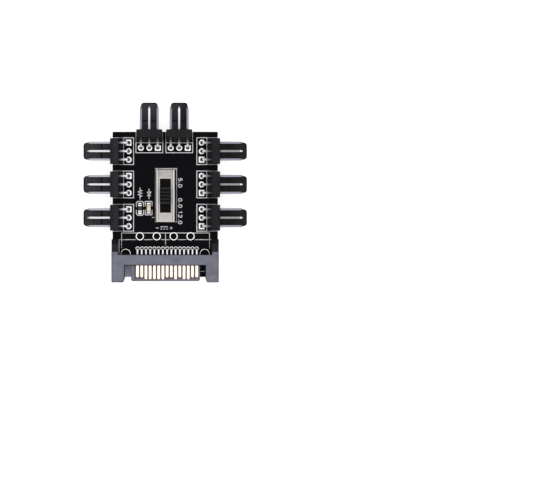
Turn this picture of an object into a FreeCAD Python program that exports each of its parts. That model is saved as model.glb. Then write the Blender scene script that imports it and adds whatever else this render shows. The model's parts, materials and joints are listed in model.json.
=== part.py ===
import FreeCAD, Part
import math
import os
import re
import Sketcher
from FreeCAD import Placement, Rotation, Vector

# Fan controller hub: a board with fan headers on three edges, a power plug on the
# front edge, a slide switch in the middle and a foam pad underneath.
# The hub lies on its pad. X runs across the board, Y from the power plug to the
# top headers, Z up. The origin is the middle of the pad's underside. Lengths in mm.

doc = FreeCAD.newDocument("fan_controller_hub")
sheet = doc.addObject("Spreadsheet::Sheet", "Sizes")

# Driving dimensions, one row of the sheet each
SIZES = {
    # Pad and board
    "liner_width": 28.0,  # release liner, across
    "liner_length": 40.2,  # release liner, along
    "liner_thick": 0.15,  # release liner, sheet thickness
    "liner_corner": 3.0,  # release liner, corner radius
    "foam_margin": 0.45,  # foam pad, set back from the board edge
    "foam_thick": 2.2,  # foam pad, thickness
    "foam_corner": 3.5,  # foam pad, corner radius
    "relief_depth": 1.7,  # foam pad, depth of the reliefs for the solder tails
    "relief_margin": 0.5,  # foam pad, room round each solder tail
    "board_width": 31.6,  # board, across
    "board_length": 43.6,  # board, along
    "board_thick": 1.6,  # board, thickness
    "tail_below": 1.3,  # solder tails, length below the board
    # Fan headers
    "pin_side": 0.64,  # header pin, side of its square section
    "pin_pitch": 2.54,  # header pins, spacing
    "pin_level": 3.4,  # header pin, height of its axis over the board
    "pin_short": 1.2,  # header pin, set back of its tip from the tongue's tip
    "pin_taper": 0.7,  # header pin, length of its tapered tip
    "pin_point": 0.3,  # header pin, side of its end face
    "pin_bend": 0.3,  # header pin, inner radius of its bend
    "pin_hole": 1.0,  # board, hole for a header pin
    "row_inset": 4.8,  # header pad row, distance from the board edge
    "side_pitch": 10.0,  # side headers, spacing along the board
    "side_middle": 5.98,  # side headers, place of the middle one along the board
    "top_pitch": 8.98,  # top headers, spacing
    "top_middle": -0.27,  # top headers, place of their middle across the board
    "block_width": 7.75,  # header block, width
    "block_height": 6.0,  # header block, height
    "block_face": 5.5,  # header block, pad row to front face
    "block_solid": 2.4,  # header block, depth of its solid part
    "comb_depth": 1.5,  # header block, depth of the comb behind the solid part
    "comb_slot": 1.1,  # header block, width of a comb slot
    "tongue_width": 5.1,  # header tongue, width
    "tongue_reach": 8.05,  # header tongue, length beyond the face
    "tongue_thick": 1.2,  # header tongue, thickness
    "tongue_corner": 0.95,  # header tongue, corner radius at the tip
    "latch_from_tip": 5.5,  # header latch, its step from the tongue's tip
    "latch_slope": 1.6,  # header latch, length of its slope
    "latch_height": 0.5,  # header latch, height over the tongue
    "mark_diameter": 1.7,  # header block, ejector mark
    "mark_depth": 0.1,  # header block, depth of the ejector mark
    "block_break": 0.25,  # header block, chamfer round its top
    # Power plug
    "plug_overhang": 0.3,  # plug, its reach beyond each side of the board
    "plug_height": 5.4,  # plug, height over the board
    "bar_back": 15.05,  # plug bar, distance of its rear face from the middle
    "bar_depth": 3.3,  # plug bar, depth
    "arm_width": 4.0,  # plug arm, width
    "arm_reach": 5.1,  # plug arm, length beyond the bar
    "arm_chamfer": 0.5,  # plug arm, width of the chamfer at its inner corner
    "arm_lead": 1.2,  # plug arm, length of that chamfer
    "leg_width": 2.1,  # plug rear leg, width
    "leg_step": 1.0,  # plug rear leg, full-height length behind the bar
    "leg_reach": 4.6,  # plug rear leg, whole length behind the bar
    "leg_low": 1.4,  # plug rear leg, height at its end
    "leg_high": 3.4,  # plug rear leg, height at the step
    "blade_left": 10.2,  # blade, distance of its left edge from the middle
    "blade_right": 10.45,  # blade, distance of its right edge from the middle
    "blade_reach": 4.7,  # blade, length beyond the bar
    "blade_level": 2.3,  # blade, height of its underside over the board
    "blade_thick": 1.25,  # blade, thickness
    "blade_chamfer": 0.35,  # blade, chamfer of its tip corners
    "key_width": 1.0,  # blade key, width
    "key_height": 1.1,  # blade key, height over the blade
    "floor_reach": 3.45,  # notch floor, length beyond the bar
    "floor_thick": 1.2,  # notch floor, thickness
    "edge_break": 0.2,  # plug, chamfer round its top
    "contact_count": 15,  # contacts, number of
    "contact_pitch": 1.27,  # contacts, spacing
    "contact_middle": 0.6,  # contacts, place of the middle one across the board
    "contact_width": 0.85,  # contact, width on the blade
    "contact_thick": 0.25,  # contact, sheet thickness
    "contact_proud": 0.05,  # contact, height over the blade
    "contact_long": 4.15,  # long contact, length beyond the bar
    "contact_short": 3.6,  # short contact, length beyond the bar
    "tail_width": 0.5,  # contact tail, width
    "tail_run": 1.8,  # contact tail, distance of its row behind the bar
    "tail_bend": 0.3,  # contact tail, inner radius of its bend
    "tail_hole": 0.75,  # board, hole for a contact tail
    "lock_wall": 0.35,  # board locks, wall between a lock and the inner face of its arm
    "lock_setback": 0.9,  # board locks, distance from the board's front edge
    "lock_width": 1.5,  # board lock, width
    "lock_thick": 0.35,  # board lock, sheet thickness
    "lock_rise": 3.0,  # board lock, height in the plug
    "lock_slit": 0.5,  # board lock, slit between its prongs
    "lock_hole": 1.9,  # board, hole for a board lock
    # Spare holes
    "spare_pitch": 5.08,  # spare power holes, spacing
    "spare_hole": 1.8,  # spare power holes, diameter
    "spare_back": 9.6,  # spare power holes, distance of their row from the middle
    "peg_spacing": 23.74,  # spare peg holes, distance apart
    "peg_hole": 2.4,  # spare peg holes, diameter
    "peg_back": 14.9,  # spare peg holes, distance of their row from the middle
    # Slide switch
    "switch_across": 0.1,  # switch, its middle across the board
    "switch_along": 2.58,  # switch, its middle along the board
    "case_width": 5.75,  # switch case, width
    "case_length": 16.0,  # switch case, length
    "case_height": 4.8,  # switch case, height over the board
    "case_sheet": 0.3,  # switch case, sheet thickness
    "case_lift": 0.3,  # switch case, height of its lower rim over the board
    "case_fold": 0.45,  # switch case, outer radius of its folds
    "window_width": 3.33,  # switch window, width
    "window_slack": 0.1,  # switch window, play at each end of the travel
    "tab_width": 1.5,  # case tab, width
    "tab_room": 0.15,  # board, room round a case tab in its slot
    "base_gap": 0.05,  # switch base, gap to the case walls
    "base_thick": 1.7,  # switch base, thickness
    "row_gap": 2.6,  # switch terminals, distance between the two rows
    "throw": 2.5,  # switch, travel from one position to the next
    "head_length": 1.8,  # terminal head, length
    "head_width": 1.1,  # terminal head, width
    "head_proud": 0.15,  # terminal head, height over the base
    "stem_length": 0.8,  # terminal stem, length along the switch
    "stem_width": 0.5,  # terminal stem, thickness
    "stem_hole": 1.1,  # board, hole for a terminal stem
    "slide_gap": 0.1,  # slider, running gap on each side
    "foot_gap": 0.2,  # slider, height of its underside over the terminal heads
    "clip_gap": 0.08,  # clip, height over the terminal heads
    "clip_width": 1.3,  # clip, width
    "clip_length": 4.2,  # clip, length
    "clip_thick": 0.22,  # clip, sheet thickness
    "clip_arch": 1.0,  # clip, height of its arch
    "knob_length": 5.0,  # knob, length along the travel
    "knob_rise": 3.9,  # knob, height over the case
    "ridge_pitch": 1.03,  # knob ridges, spacing
    "ridge_groove": 0.4,  # knob ridges, width of a groove between two
    "ridge_depth": 0.45,  # knob ridges, depth of a groove
    "ridge_draft": 0.12,  # knob ridges, slope of each groove wall
    # Chip parts
    "chip_lift": 0.05,  # chip parts, thickness of the solder film below them
    "light_across": -4.94,  # status light, place across the board
    "light_along": -1.16,  # status light, place along the board
    "light_length": 3.0,  # status light, length of its carrier
    "light_width": 1.15,  # status light, width of its carrier
    "light_base": 0.3,  # status light, thickness of its carrier
    "lens_height": 0.55,  # status light, height of its lens
    "lens_length": 2.2,  # status light, length of its lens
    "lens_draft": 0.1,  # status light, slope of the lens sides
    "resistor_across": -7.6,  # resistor, place across the board
    "resistor_along": -1.19,  # resistor, place along the board
    "resistor_length": 2.0,  # resistor, length
    "resistor_width": 1.1,  # resistor, width
    "resistor_thick": 0.5,  # resistor, thickness
}

for row, (alias, number) in enumerate(SIZES.items(), start=1):
    sheet.set(f"A{row}", alias.replace("_", " "))
    sheet.set(f"B{row}", str(number))
    sheet.setAlias(f"B{row}", alias)

LINER_TURN = 2.0
SIDES = (("left", -1), ("right", 1))
FOUR_STEPS = (-1.5, -0.5, 0.5, 1.5)
SIDE_ROWS = (1, 0, -1)
TOP_ROWS = (-1, 1)
# Contacts from the left: L long, S short
CONTACT_KINDS = "SSLLLLLSSLSLLSS"
PIN_HOLE_SIDES = 12
TAIL_HOLE_SIDES = 8

BOARD_BOTTOM = "(liner_thick + foam_thick)"
BOARD_TOP = "(liner_thick + foam_thick + board_thick)"
TAIL_LENGTH = "(board_thick + tail_below)"
BLADE_TOP = "(blade_level + blade_thick)"
CONTACT_TOP = "(blade_level + blade_thick + contact_proud)"
BAR_FRONT = "(bar_back + bar_depth)"
CLIP_LOW = "(base_thick + head_proud + clip_gap)"
CLIP_HIGH = "(base_thick + head_proud + clip_gap + clip_arch + clip_thick)"
SLIDER_LOW = "(base_thick + head_proud + foot_gap)"
SLIDER_HIGH = "(case_height - case_sheet - slide_gap)"
PLUG_HALF = "(board_width / 2 + plug_overhang)"
ARM_INNER = "(board_width / 2 + plug_overhang - arm_width)"
LOCK_ACROSS = "(board_width / 2 + plug_overhang - arm_width + lock_wall + lock_width / 2)"
WINDOW_LENGTH = "(knob_length + 2 * throw + 2 * window_slack)"
COMB_BACK = "(block_face - block_solid - comb_depth)"

pieces = []
doc.recompute()


def linked(formula):
    """A formula in plain size names, with each name pointing at its cell."""
    return re.sub(
        r"[a-z][a-z_]*",
        lambda word: f"Sizes.{word.group()}" if word.group() in SIZES else word.group(),
        str(formula),
    )


def value(formula):
    """The number that a formula gives now."""
    return float(sheet.evalExpression(linked(formula)))


def bind(thing, prop, formula):
    """Tie one property to the cells, through a formula in plain size names."""
    thing.setExpression(prop, linked(formula))


def put(thing, across, along, level, turn):
    """Stand a piece's own origin at a place given by formulas, turned about Z."""
    thing.Placement = Placement(Vector(0, 0, 0), Rotation(Vector(0, 0, 1), turn))
    bind(thing, ".Placement.Base.x", across)
    bind(thing, ".Placement.Base.y", along)
    bind(thing, ".Placement.Base.z", level)


def new_model(label):
    """An empty body at the origin, from which placed copies are made."""
    body = doc.addObject("PartDesign::Body", label)
    body.Label = label
    body.AllowCompound = True
    return body


def new_body(label, across="0", along="0", level="0", turn=0.0):
    """An empty body that is one sub-part of the hub, in its place."""
    body = new_model(label)
    put(body, across, along, level, turn)
    pieces.append(body)
    return body


def placed_copy(label, model, across, along, level, turn=0.0):
    """A sub-part of the hub that has the same form as a model, in its own place."""
    copy = doc.addObject("Part::Compound", label)
    copy.Label = label
    copy.Links = [model]
    put(copy, across, along, level, turn)
    pieces.append(copy)


def new_sketch(body, name, plane="XY_Plane", offset="0"):
    """A sketch on one of the body's own origin planes, moved out along its normal."""
    sketch = body.newObject("Sketcher::SketchObject", name)
    support = [plane_obj for plane_obj in body.Origin.OriginFeatures if plane_obj.Role == plane][0]
    sketch.AttachmentSupport = [(support, "")]
    sketch.MapMode = "FlatFace"
    bind(sketch, ".AttachmentOffset.Base.z", offset)
    return sketch


def pin_point_down(sketch, geometry, point, across, along):
    """Hold one point of a sketch at two coordinates, given by formulas."""
    for kind, axis, formula in (("DistanceX", -2, across), ("DistanceY", -1, along)):
        distance = value(formula)
        if formula == "0":
            sketch.addConstraint(Sketcher.Constraint("PointOnObject", geometry, point, axis))
        else:
            number = sketch.addConstraint(
                Sketcher.Constraint(kind, -1, 1, geometry, point, distance)
            )
            bind(sketch, f"Constraints[{number}]", formula)


def arc_between(start, end, radius):
    """The shorter arc from start to end; a positive radius turns left."""
    middle = (start + end) * 0.5
    chord = end - start
    sagitta_leg = math.sqrt(max(radius * radius - chord.Length * chord.Length / 4.0, 0.0))
    normal = Vector(-chord.y, chord.x, 0).normalize()
    centre = middle + normal * math.copysign(sagitta_leg, radius)
    first, last = (start, end) if radius > 0 else (end, start)
    circle = Part.Circle(centre, Vector(0, 0, 1), abs(radius))
    begin = math.atan2(first.y - centre.y, first.x - centre.x)
    finish = math.atan2(last.y - centre.y, last.x - centre.x)
    return Part.ArcOfCircle(circle, begin, finish)


def outline(sketch, corners):
    """A closed outline. A corner is (x, y), or (x, y, radius) where an arc of that
    radius leads on to the next corner; the radius has a minus sign where it turns
    right. Every corner is held by its two coordinates."""
    points = [Vector(value(corner[0]), value(corner[1]), 0) for corner in corners]
    count = len(corners)
    ends = []
    for index, corner in enumerate(corners):
        start = points[index]
        end = points[(index + 1) % count]
        if len(corner) == 3:
            radius = value(corner[2])
            geometry = sketch.addGeometry(arc_between(start, end, radius), False)
            ends.append((geometry, 1, 2) if radius > 0 else (geometry, 2, 1))
        else:
            geometry = sketch.addGeometry(Part.LineSegment(start, end), False)
            ends.append((geometry, 1, 2))
    for index, corner in enumerate(corners):
        geometry, begin, _ = ends[index]
        before, _, finish = ends[index - 1]
        sketch.addConstraint(Sketcher.Constraint("Coincident", before, finish, geometry, begin))
        pin_point_down(sketch, geometry, begin, corner[0], corner[1])
    for index, corner in enumerate(corners):
        if len(corner) == 3:
            radius = value(corner[2])
            number = sketch.addConstraint(
                Sketcher.Constraint("Radius", ends[index][0], abs(radius))
            )
            bind(sketch, f"Constraints[{number}]", corner[2].lstrip("-"))


def rectangle(sketch, left, right, front, back):
    """A rectangle between four coordinates, given by formulas."""
    outline(sketch, [(left, front), (right, front), (right, back), (left, back)])


def rounded_rectangle(sketch, width, length, radius):
    """A rectangle about the origin with round corners."""
    half_x = f"{width} / 2"
    half_y = f"{length} / 2"
    outline(sketch, [
        (f"-{half_x} + {radius}", f"-{half_y}"),
        (f"{half_x} - {radius}", f"-{half_y}", radius),
        (half_x, f"-{half_y} + {radius}"),
        (half_x, f"{half_y} - {radius}", radius),
        (f"{half_x} - {radius}", half_y),
        (f"-{half_x} + {radius}", half_y, radius),
        (f"-{half_x}", f"{half_y} - {radius}"),
        (f"-{half_x}", f"-{half_y} + {radius}", radius),
    ])


def circle(sketch, across, along, diameter):
    """A circle held by its centre and its diameter."""
    centre = Vector(value(across), value(along), 0)
    round_edge = Part.Circle(centre, Vector(0, 0, 1), value(diameter) / 2.0)
    geometry = sketch.addGeometry(round_edge, False)
    pin_point_down(sketch, geometry, 3, across, along)
    number = sketch.addConstraint(Sketcher.Constraint("Diameter", geometry, value(diameter)))
    bind(sketch, f"Constraints[{number}]", diameter)


def box_tool(label, left, right, front, back, low, high):
    """A box between six coordinates, given by formulas, for cutting with."""
    tool = doc.addObject("Part::Box", label)
    bind(tool, "Length", f"({right}) - ({left})")
    bind(tool, "Width", f"({back}) - ({front})")
    bind(tool, "Height", f"({high}) - ({low})")
    put(tool, left, front, low, 0.0)
    return tool


def drill_tool(label, across, along, diameter, height, sides=None):
    """A round drill from the ground up, or a prism of a few sides for a small hole."""
    if sides is None:
        tool = doc.addObject("Part::Cylinder", label)
        bind(tool, "Radius", f"{diameter} / 2")
    else:
        tool = doc.addObject("Part::Prism", label)
        tool.Polygon = sides
        bind(tool, "Circumradius", f"{diameter} / 2")
    bind(tool, "Height", height)
    put(tool, across, along, "0", 0.0)
    return tool


def cut_piece(label, base, tools, level):
    """A sub-part of the hub: a base form less a group of tools, set at its level."""
    group = doc.addObject("Part::Compound", f"{label}_tools")
    group.Links = tools
    piece = doc.addObject("Part::Cut", label)
    piece.Label = label
    piece.Base = base
    piece.Tool = group
    put(piece, "0", "0", level, 0.0)
    doc.recompute()
    if not piece.Shape.Volume < base.Shape.Volume:
        raise RuntimeError(f"{label} is not cut")
    pieces.append(piece)


def pad(body, name, sketch, length, both_ways=False):
    """Material on one side of a sketch, or shared out on both sides."""
    feature = body.newObject("PartDesign::Pad", name)
    feature.Profile = sketch
    bind(feature, "Length", length)
    feature.SideType = "Symmetric" if both_ways else "One side"
    doc.recompute()
    return feature


def cut_through(body, name, sketch):
    """A cut of the sketch's outlines through the whole piece, both ways."""
    before = body.Shape.Volume
    feature = body.newObject("PartDesign::Pocket", name)
    feature.Profile = sketch
    feature.Type = "ThroughAll"
    feature.SideType = "Symmetric"
    doc.recompute()
    require_less(feature, before)
    return feature


def cut_down(body, name, sketch, depth):
    """A cut of the sketch's outlines from its plane against its normal."""
    before = body.Shape.Volume
    feature = body.newObject("PartDesign::Pocket", name)
    feature.Profile = sketch
    feature.Type = "Length"
    bind(feature, "Length", depth)
    doc.recompute()
    require_less(feature, before)
    return feature


def require_less(feature, before):
    """Stop if a cut took nothing away."""
    if not feature.Shape.Volume < before:
        raise RuntimeError(f"{feature.Label} cuts nothing")


def edge_names(feature, wanted):
    """The names of a feature's edges that a test picks by their shape."""
    edges = feature.Shape.Edges
    return [f"Edge{number}" for number, edge in enumerate(edges, start=1) if wanted(edge)]


def ends_at(edge, axis, level):
    """True for an edge that lies whole at one level of one axis."""
    return all(abs(getattr(vertex.Point, axis) - level) < 1e-4 for vertex in edge.Vertexes)


def is_upright(edge):
    """True for a straight edge along Z."""
    first, last = edge.Vertexes[0].Point, edge.Vertexes[-1].Point
    return math.hypot(last.x - first.x, last.y - first.y) < 1e-4


def chamfer(body, name, feature, names, size):
    """A chamfer along named edges of a feature."""
    dressed = body.newObject("PartDesign::Chamfer", name)
    dressed.Base = (feature, names)
    bind(dressed, "Size", size)
    doc.recompute()
    return dressed


def fillet(body, name, feature, names, radius):
    """A round along named edges of a feature."""
    dressed = body.newObject("PartDesign::Fillet", name)
    dressed.Base = (feature, names)
    bind(dressed, "Radius", radius)
    doc.recompute()
    return dressed


def row_of(body, name, features, axis, spacing, count):
    """Copies of features along one of the body's axes, the first in its own place."""
    pattern = body.newObject("PartDesign::LinearPattern", name)
    pattern.Originals = features
    line = [item for item in body.Origin.OriginFeatures if item.Role == axis][0]
    pattern.Direction = (line, [""])
    pattern.Occurrences = count
    bind(pattern, "Length", f"{count - 1} * {spacing}")
    body.Tip = pattern
    doc.recompute()
    return pattern


# Places that several pieces share

def header_places():
    """Name, place of the middle pad and turn of each fan header, in order."""
    inset_x = "(board_width / 2 - row_inset)"
    inset_y = "(board_length / 2 - row_inset)"
    places = []
    for row in SIDE_ROWS:
        places.append((f"-{inset_x}", f"side_middle + {row} * side_pitch", 90.0))
    for row in TOP_ROWS:
        places.append((f"top_middle + {row} * top_pitch / 2", inset_y, 0.0))
    for row in SIDE_ROWS:
        places.append((inset_x, f"side_middle + {row} * side_pitch", -90.0))
    return [(f"fan_header_{number}", *place) for number, place in enumerate(places, start=1)]


def pin_places(across, along, turn):
    """The three pad centres of one header."""
    steps = [f"{step} * pin_pitch" for step in (-1, 0, 1)]
    if turn == 0.0:
        return [(f"{across} + {step}", along) for step in steps]
    return [(across, f"{along} + {step}") for step in steps]


def contact_across(number):
    """Place across the board of one plug contact, counted from the left."""
    return f"contact_middle + ({number} - (contact_count + 1) / 2) * contact_pitch"


def contact_numbers():
    """The numbers of the plug contacts, from the left."""
    return range(1, int(value("contact_count")) + 1)


def contact_reach(number):
    """The name of the length beyond the bar that one plug contact has."""
    kind = CONTACT_KINDS[(number - 1) % len(CONTACT_KINDS)]
    return "contact_long" if kind == "L" else "contact_short"


def stem_rows():
    """Places along the switch of its four terminals on each side."""
    return [f"{step} * throw" for step in FOUR_STEPS]


def tab_along(sign):
    """Place along the board of one tab of the switch case."""
    return f"switch_along + {sign} * (case_length / 2 - case_sheet / 2)"


TAIL_ROW = "-(bar_back - tail_run)"
LOCK_ROW = "-(board_length / 2 - lock_setback)"


# Pad and board

def make_liner():
    """The release liner: a paper sheet with round corners, laid on a little askew."""
    body = new_body("release_liner", turn=LINER_TURN)
    sketch = new_sketch(body, "liner_outline")
    rounded_rectangle(sketch, "liner_width", "liner_length", "liner_corner")
    pad(body, "liner_sheet", sketch, "liner_thick")


def make_foam():
    """The foam pad, with reliefs where the solder tails press into it."""
    body = new_model("foam_block")
    sketch = new_sketch(body, "foam_outline")
    rounded_rectangle(
        sketch, "(board_width - 2 * foam_margin)", "(board_length - 2 * foam_margin)", "foam_corner"
    )
    pad(body, "foam_sheet", sketch, "foam_thick")
    reliefs = []
    for name, across, along, turn in header_places():
        long_half = "(pin_pitch + pin_side / 2)"
        half_x, half_y = (long_half, "pin_side / 2") if turn == 0.0 else ("pin_side / 2", long_half)
        reliefs.append(relief(f"{name}_relief", across, along, half_x, half_y))
    row_half = "((contact_count - 1) / 2 * contact_pitch + tail_width / 2)"
    reliefs.append(relief("tail_relief", "contact_middle", TAIL_ROW, row_half, "contact_thick / 2"))
    reliefs.append(relief(
        "terminal_relief", "switch_across", "switch_along",
        "(row_gap / 2 + stem_width / 2)", "(1.5 * throw + stem_length / 2)",
    ))
    for side, sign in SIDES:
        reliefs.append(relief(
            f"{side}_tab_relief", "switch_across", tab_along(sign), "tab_width / 2", "case_sheet / 2"
        ))
        reliefs.append(relief(
            f"{side}_lock_relief", f"{sign} * {LOCK_ACROSS}", LOCK_ROW,
            "lock_width / 2", "lock_thick / 2",
        ))
    cut_piece("foam_pad", body, reliefs, "liner_thick")


def relief(label, across, along, half_x, half_y):
    """One rectangular relief in the foam, about what stands in it."""
    return box_tool(
        label,
        f"{across} - {half_x} - relief_margin", f"{across} + {half_x} + relief_margin",
        f"{along} - {half_y} - relief_margin", f"{along} + {half_y} + relief_margin",
        "foam_thick - relief_depth", "foam_thick",
    )


def make_board():
    """The bare board, drilled for every pin, tail, lock and spare part."""
    blank = box_tool(
        "board_blank", "-board_width / 2", "board_width / 2",
        "-board_length / 2", "board_length / 2", "0", "board_thick",
    )
    drills = []
    for name, across, along, turn in header_places():
        for hole, (place_x, place_y) in enumerate(pin_places(across, along, turn), start=1):
            drills.append(drill_tool(
                f"{name}_drill_{hole}", place_x, place_y, "pin_hole", "board_thick", PIN_HOLE_SIDES
            ))
    for number in contact_numbers():
        drills.append(drill_tool(
            f"tail_drill_{number}", contact_across(number), TAIL_ROW,
            "tail_hole", "board_thick", TAIL_HOLE_SIDES,
        ))
    for hole, step in enumerate(FOUR_STEPS, start=1):
        drills.append(drill_tool(
            f"spare_drill_{hole}", f"{step} * spare_pitch", "-spare_back", "spare_hole", "board_thick"
        ))
    for side, sign in SIDES:
        for hole, step in enumerate(FOUR_STEPS, start=1):
            drills.append(drill_tool(
                f"{side}_terminal_drill_{hole}", f"switch_across + {sign} * row_gap / 2",
                f"switch_along + {step} * throw", "stem_hole", "board_thick", TAIL_HOLE_SIDES,
            ))
        drills.append(drill_tool(
            f"{side}_peg_drill", f"{sign} * peg_spacing / 2", "-peg_back", "peg_hole", "board_thick"
        ))
        drills.append(drill_tool(
            f"{side}_lock_drill", f"{sign} * {LOCK_ACROSS}", LOCK_ROW,
            "lock_hole", "board_thick", PIN_HOLE_SIDES,
        ))
        drills.append(box_tool(
            f"{side}_tab_slot",
            "switch_across - tab_width / 2 - tab_room", "switch_across + tab_width / 2 + tab_room",
            f"{tab_along(sign)} - case_sheet / 2 - tab_room",
            f"{tab_along(sign)} + case_sheet / 2 + tab_room",
            "0", "board_thick",
        ))
    cut_piece("circuit_board", blank, drills, BOARD_BOTTOM)


# Fan headers

def header_housing_model():
    """A moulded header: a block with a comb behind it for the bent pins, and a
    tongue in front with a latch step that holds the fan's socket."""
    body = new_model("header_housing_model")
    plan = new_sketch(body, "block_plan")
    rectangle(plan, "-block_width / 2", "block_width / 2", COMB_BACK, "block_face")
    block = pad(body, "block", plan, "block_height")
    top = value("block_height")
    rim = edge_names(block, lambda edge: ends_at(edge, "z", top))
    chamfer(body, "block_rim", block, rim, "block_break")

    side = new_sketch(body, "tongue_side", "YZ_Plane")
    tip = "(block_face + tongue_reach)"
    outline(side, [
        (f"{COMB_BACK} + comb_depth", "0"),
        (tip, "0"),
        (tip, "tongue_thick * 0.6"),
        (f"{tip} - tongue_thick * 0.4", "tongue_thick"),
        (f"{tip} - latch_from_tip + latch_slope", "tongue_thick"),
        (f"{tip} - latch_from_tip", "tongue_thick + latch_height"),
        (f"{tip} - latch_from_tip", "tongue_thick"),
        (f"{COMB_BACK} + comb_depth", "tongue_thick"),
    ])
    tongue = pad(body, "tongue", side, "tongue_width", both_ways=True)
    reach = value(tip)
    corners = edge_names(
        tongue, lambda edge: is_upright(edge) and ends_at(edge, "y", reach)
    )
    fillet(body, "tongue_corners", tongue, corners, "tongue_corner")

    comb = new_sketch(body, "comb_plan")
    openings = new_sketch(body, "pin_openings", "XZ_Plane")
    for step in (-1, 0, 1):
        middle = f"{step} * pin_pitch"
        rectangle(
            comb, f"{middle} - comb_slot / 2", f"{middle} + comb_slot / 2",
            f"{COMB_BACK} - comb_depth", f"{COMB_BACK} + comb_depth",
        )
        rectangle(
            openings, f"{middle} - pin_side / 2", f"{middle} + pin_side / 2",
            "pin_level - pin_side / 2", "pin_level + pin_side / 2",
        )
    cut_through(body, "comb", comb)
    cut_through(body, "pin_holes", openings)

    mark = new_sketch(body, "ejector_outline", offset="block_height")
    circle(mark, "0", "block_face - block_solid / 2", "mark_diameter")
    cut_down(body, "ejector_mark", mark, "mark_depth")
    return body


def header_pins_model():
    """The three pins of a header: square wire, bent square and tapered at the tip."""
    body = new_model("header_pins_model")
    side = new_sketch(body, "pin_side_view", "YZ_Plane", offset="-pin_pitch")
    tip = "(block_face + tongue_reach - pin_short)"
    low = "(pin_level - pin_side / 2)"
    high = "(pin_level + pin_side / 2)"
    outer = "(pin_bend + pin_side)"
    outline(side, [
        ("-pin_side / 2", f"-{TAIL_LENGTH}"),
        ("pin_side / 2", f"-{TAIL_LENGTH}"),
        ("pin_side / 2", f"{low} - pin_bend", "-pin_bend"),
        ("pin_side / 2 + pin_bend", low),
        (f"{tip} - pin_taper", low),
        (tip, "pin_level - pin_point / 2"),
        (tip, "pin_level + pin_point / 2"),
        (f"{tip} - pin_taper", high),
        (f"-pin_side / 2 + {outer}", high, outer),
        ("-pin_side / 2", f"{high} - {outer}"),
    ])
    wire = pad(body, "pin_wire", side, "pin_side", both_ways=True)
    taper = new_sketch(body, "pin_taper_plan")
    for _, sign in SIDES:
        edge = f"-pin_pitch + {sign} * pin_side / 2"
        point = f"-pin_pitch + {sign} * pin_point / 2"
        corners = [(edge, f"{tip} - pin_taper"), (edge, tip), (point, tip)]
        outline(taper, corners)
    sides = cut_through(body, "pin_taper_cut", taper)
    row_of(body, "pin_row", [wire, sides], "X_Axis", "pin_pitch", 3)
    return body


# Power plug

def make_plug_housing():
    """The plug's moulding: a bar with two guide arms, a blade that carries the
    contacts, the key at its left end, and two legs that reach back over the board."""
    body = new_model("plug_moulding")
    half = PLUG_HALF
    arm_in = ARM_INNER
    leg_in = f"({half} - leg_width)"
    arm_tip = f"(-{BAR_FRONT} - arm_reach)"
    step = "(-bar_back + leg_step)"
    plan = new_sketch(body, "frame_plan")
    outline(plan, [
        (f"-{half}", arm_tip),
        (f"-{arm_in} - arm_chamfer", arm_tip),
        (f"-{arm_in}", f"{arm_tip} + arm_lead"),
        (f"-{arm_in}", f"-{BAR_FRONT}"),
        (arm_in, f"-{BAR_FRONT}"),
        (arm_in, f"{arm_tip} + arm_lead"),
        (f"{arm_in} + arm_chamfer", arm_tip),
        (half, arm_tip),
        (half, step),
        (leg_in, step),
        (leg_in, "-bar_back"),
        (f"-{leg_in}", "-bar_back"),
        (f"-{leg_in}", step),
        (f"-{half}", step),
    ])
    frame = pad(body, "frame", plan, "plug_height")
    top = value("plug_height")
    rim = edge_names(frame, lambda edge: ends_at(edge, "z", top))
    chamfer(body, "frame_rim", frame, rim, "edge_break")

    leg_end = "(-bar_back + leg_reach)"
    for side, offset in (("left", f"-{half}"), ("right", leg_in)):
        profile = new_sketch(body, f"{side}_leg_side", "YZ_Plane", offset=offset)
        outline(profile, [
            (step, "0"),
            (leg_end, "0"),
            (leg_end, "leg_low"),
            (f"{leg_end} - leg_low", "leg_low * 2"),
            (step, "leg_high"),
        ])
        pad(body, f"{side}_leg", profile, "leg_width")

    blade_tip = f"(-{BAR_FRONT} - blade_reach)"
    blade = new_sketch(body, "blade_plan", offset="blade_level")
    outline(blade, [
        ("-blade_left", f"{blade_tip} + blade_chamfer"),
        ("-blade_left + blade_chamfer", blade_tip),
        ("blade_right - blade_chamfer", blade_tip),
        ("blade_right", f"{blade_tip} + blade_chamfer"),
        ("blade_right", f"-{BAR_FRONT}"),
        ("-blade_left", f"-{BAR_FRONT}"),
    ])
    pad(body, "blade", blade, "blade_thick")
    key = new_sketch(body, "key_plan", offset=BLADE_TOP)
    rectangle(
        key, "-blade_left", "-blade_left + key_width",
        f"{blade_tip} + blade_chamfer", f"-{BAR_FRONT}",
    )
    pad(body, "key", key, "key_height")
    floor = new_sketch(body, "floor_plan")
    rectangle(
        floor, f"-{arm_in}", "-blade_left",
        f"-{BAR_FRONT} - floor_reach", f"-{BAR_FRONT}",
    )
    pad(body, "notch_floor", floor, "floor_thick")

    tools = []
    for number in contact_numbers():
        middle = contact_across(number)
        reach = contact_reach(number)
        tools.append(box_tool(
            f"groove_{number}", f"{middle} - contact_width / 2", f"{middle} + contact_width / 2",
            f"-{BAR_FRONT} - {reach}", "-bar_back",
            f"{CONTACT_TOP} - contact_thick", CONTACT_TOP,
        ))
    for side, sign in SIDES:
        middle = f"{sign} * {LOCK_ACROSS}"
        tools.append(box_tool(
            f"{side}_lock_slot", f"{middle} - lock_width / 2", f"{middle} + lock_width / 2",
            f"{LOCK_ROW} - lock_thick / 2", f"{LOCK_ROW} + lock_thick / 2", "0", "lock_rise",
        ))
    cut_piece("power_plug_housing", body, tools, BOARD_TOP)


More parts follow.
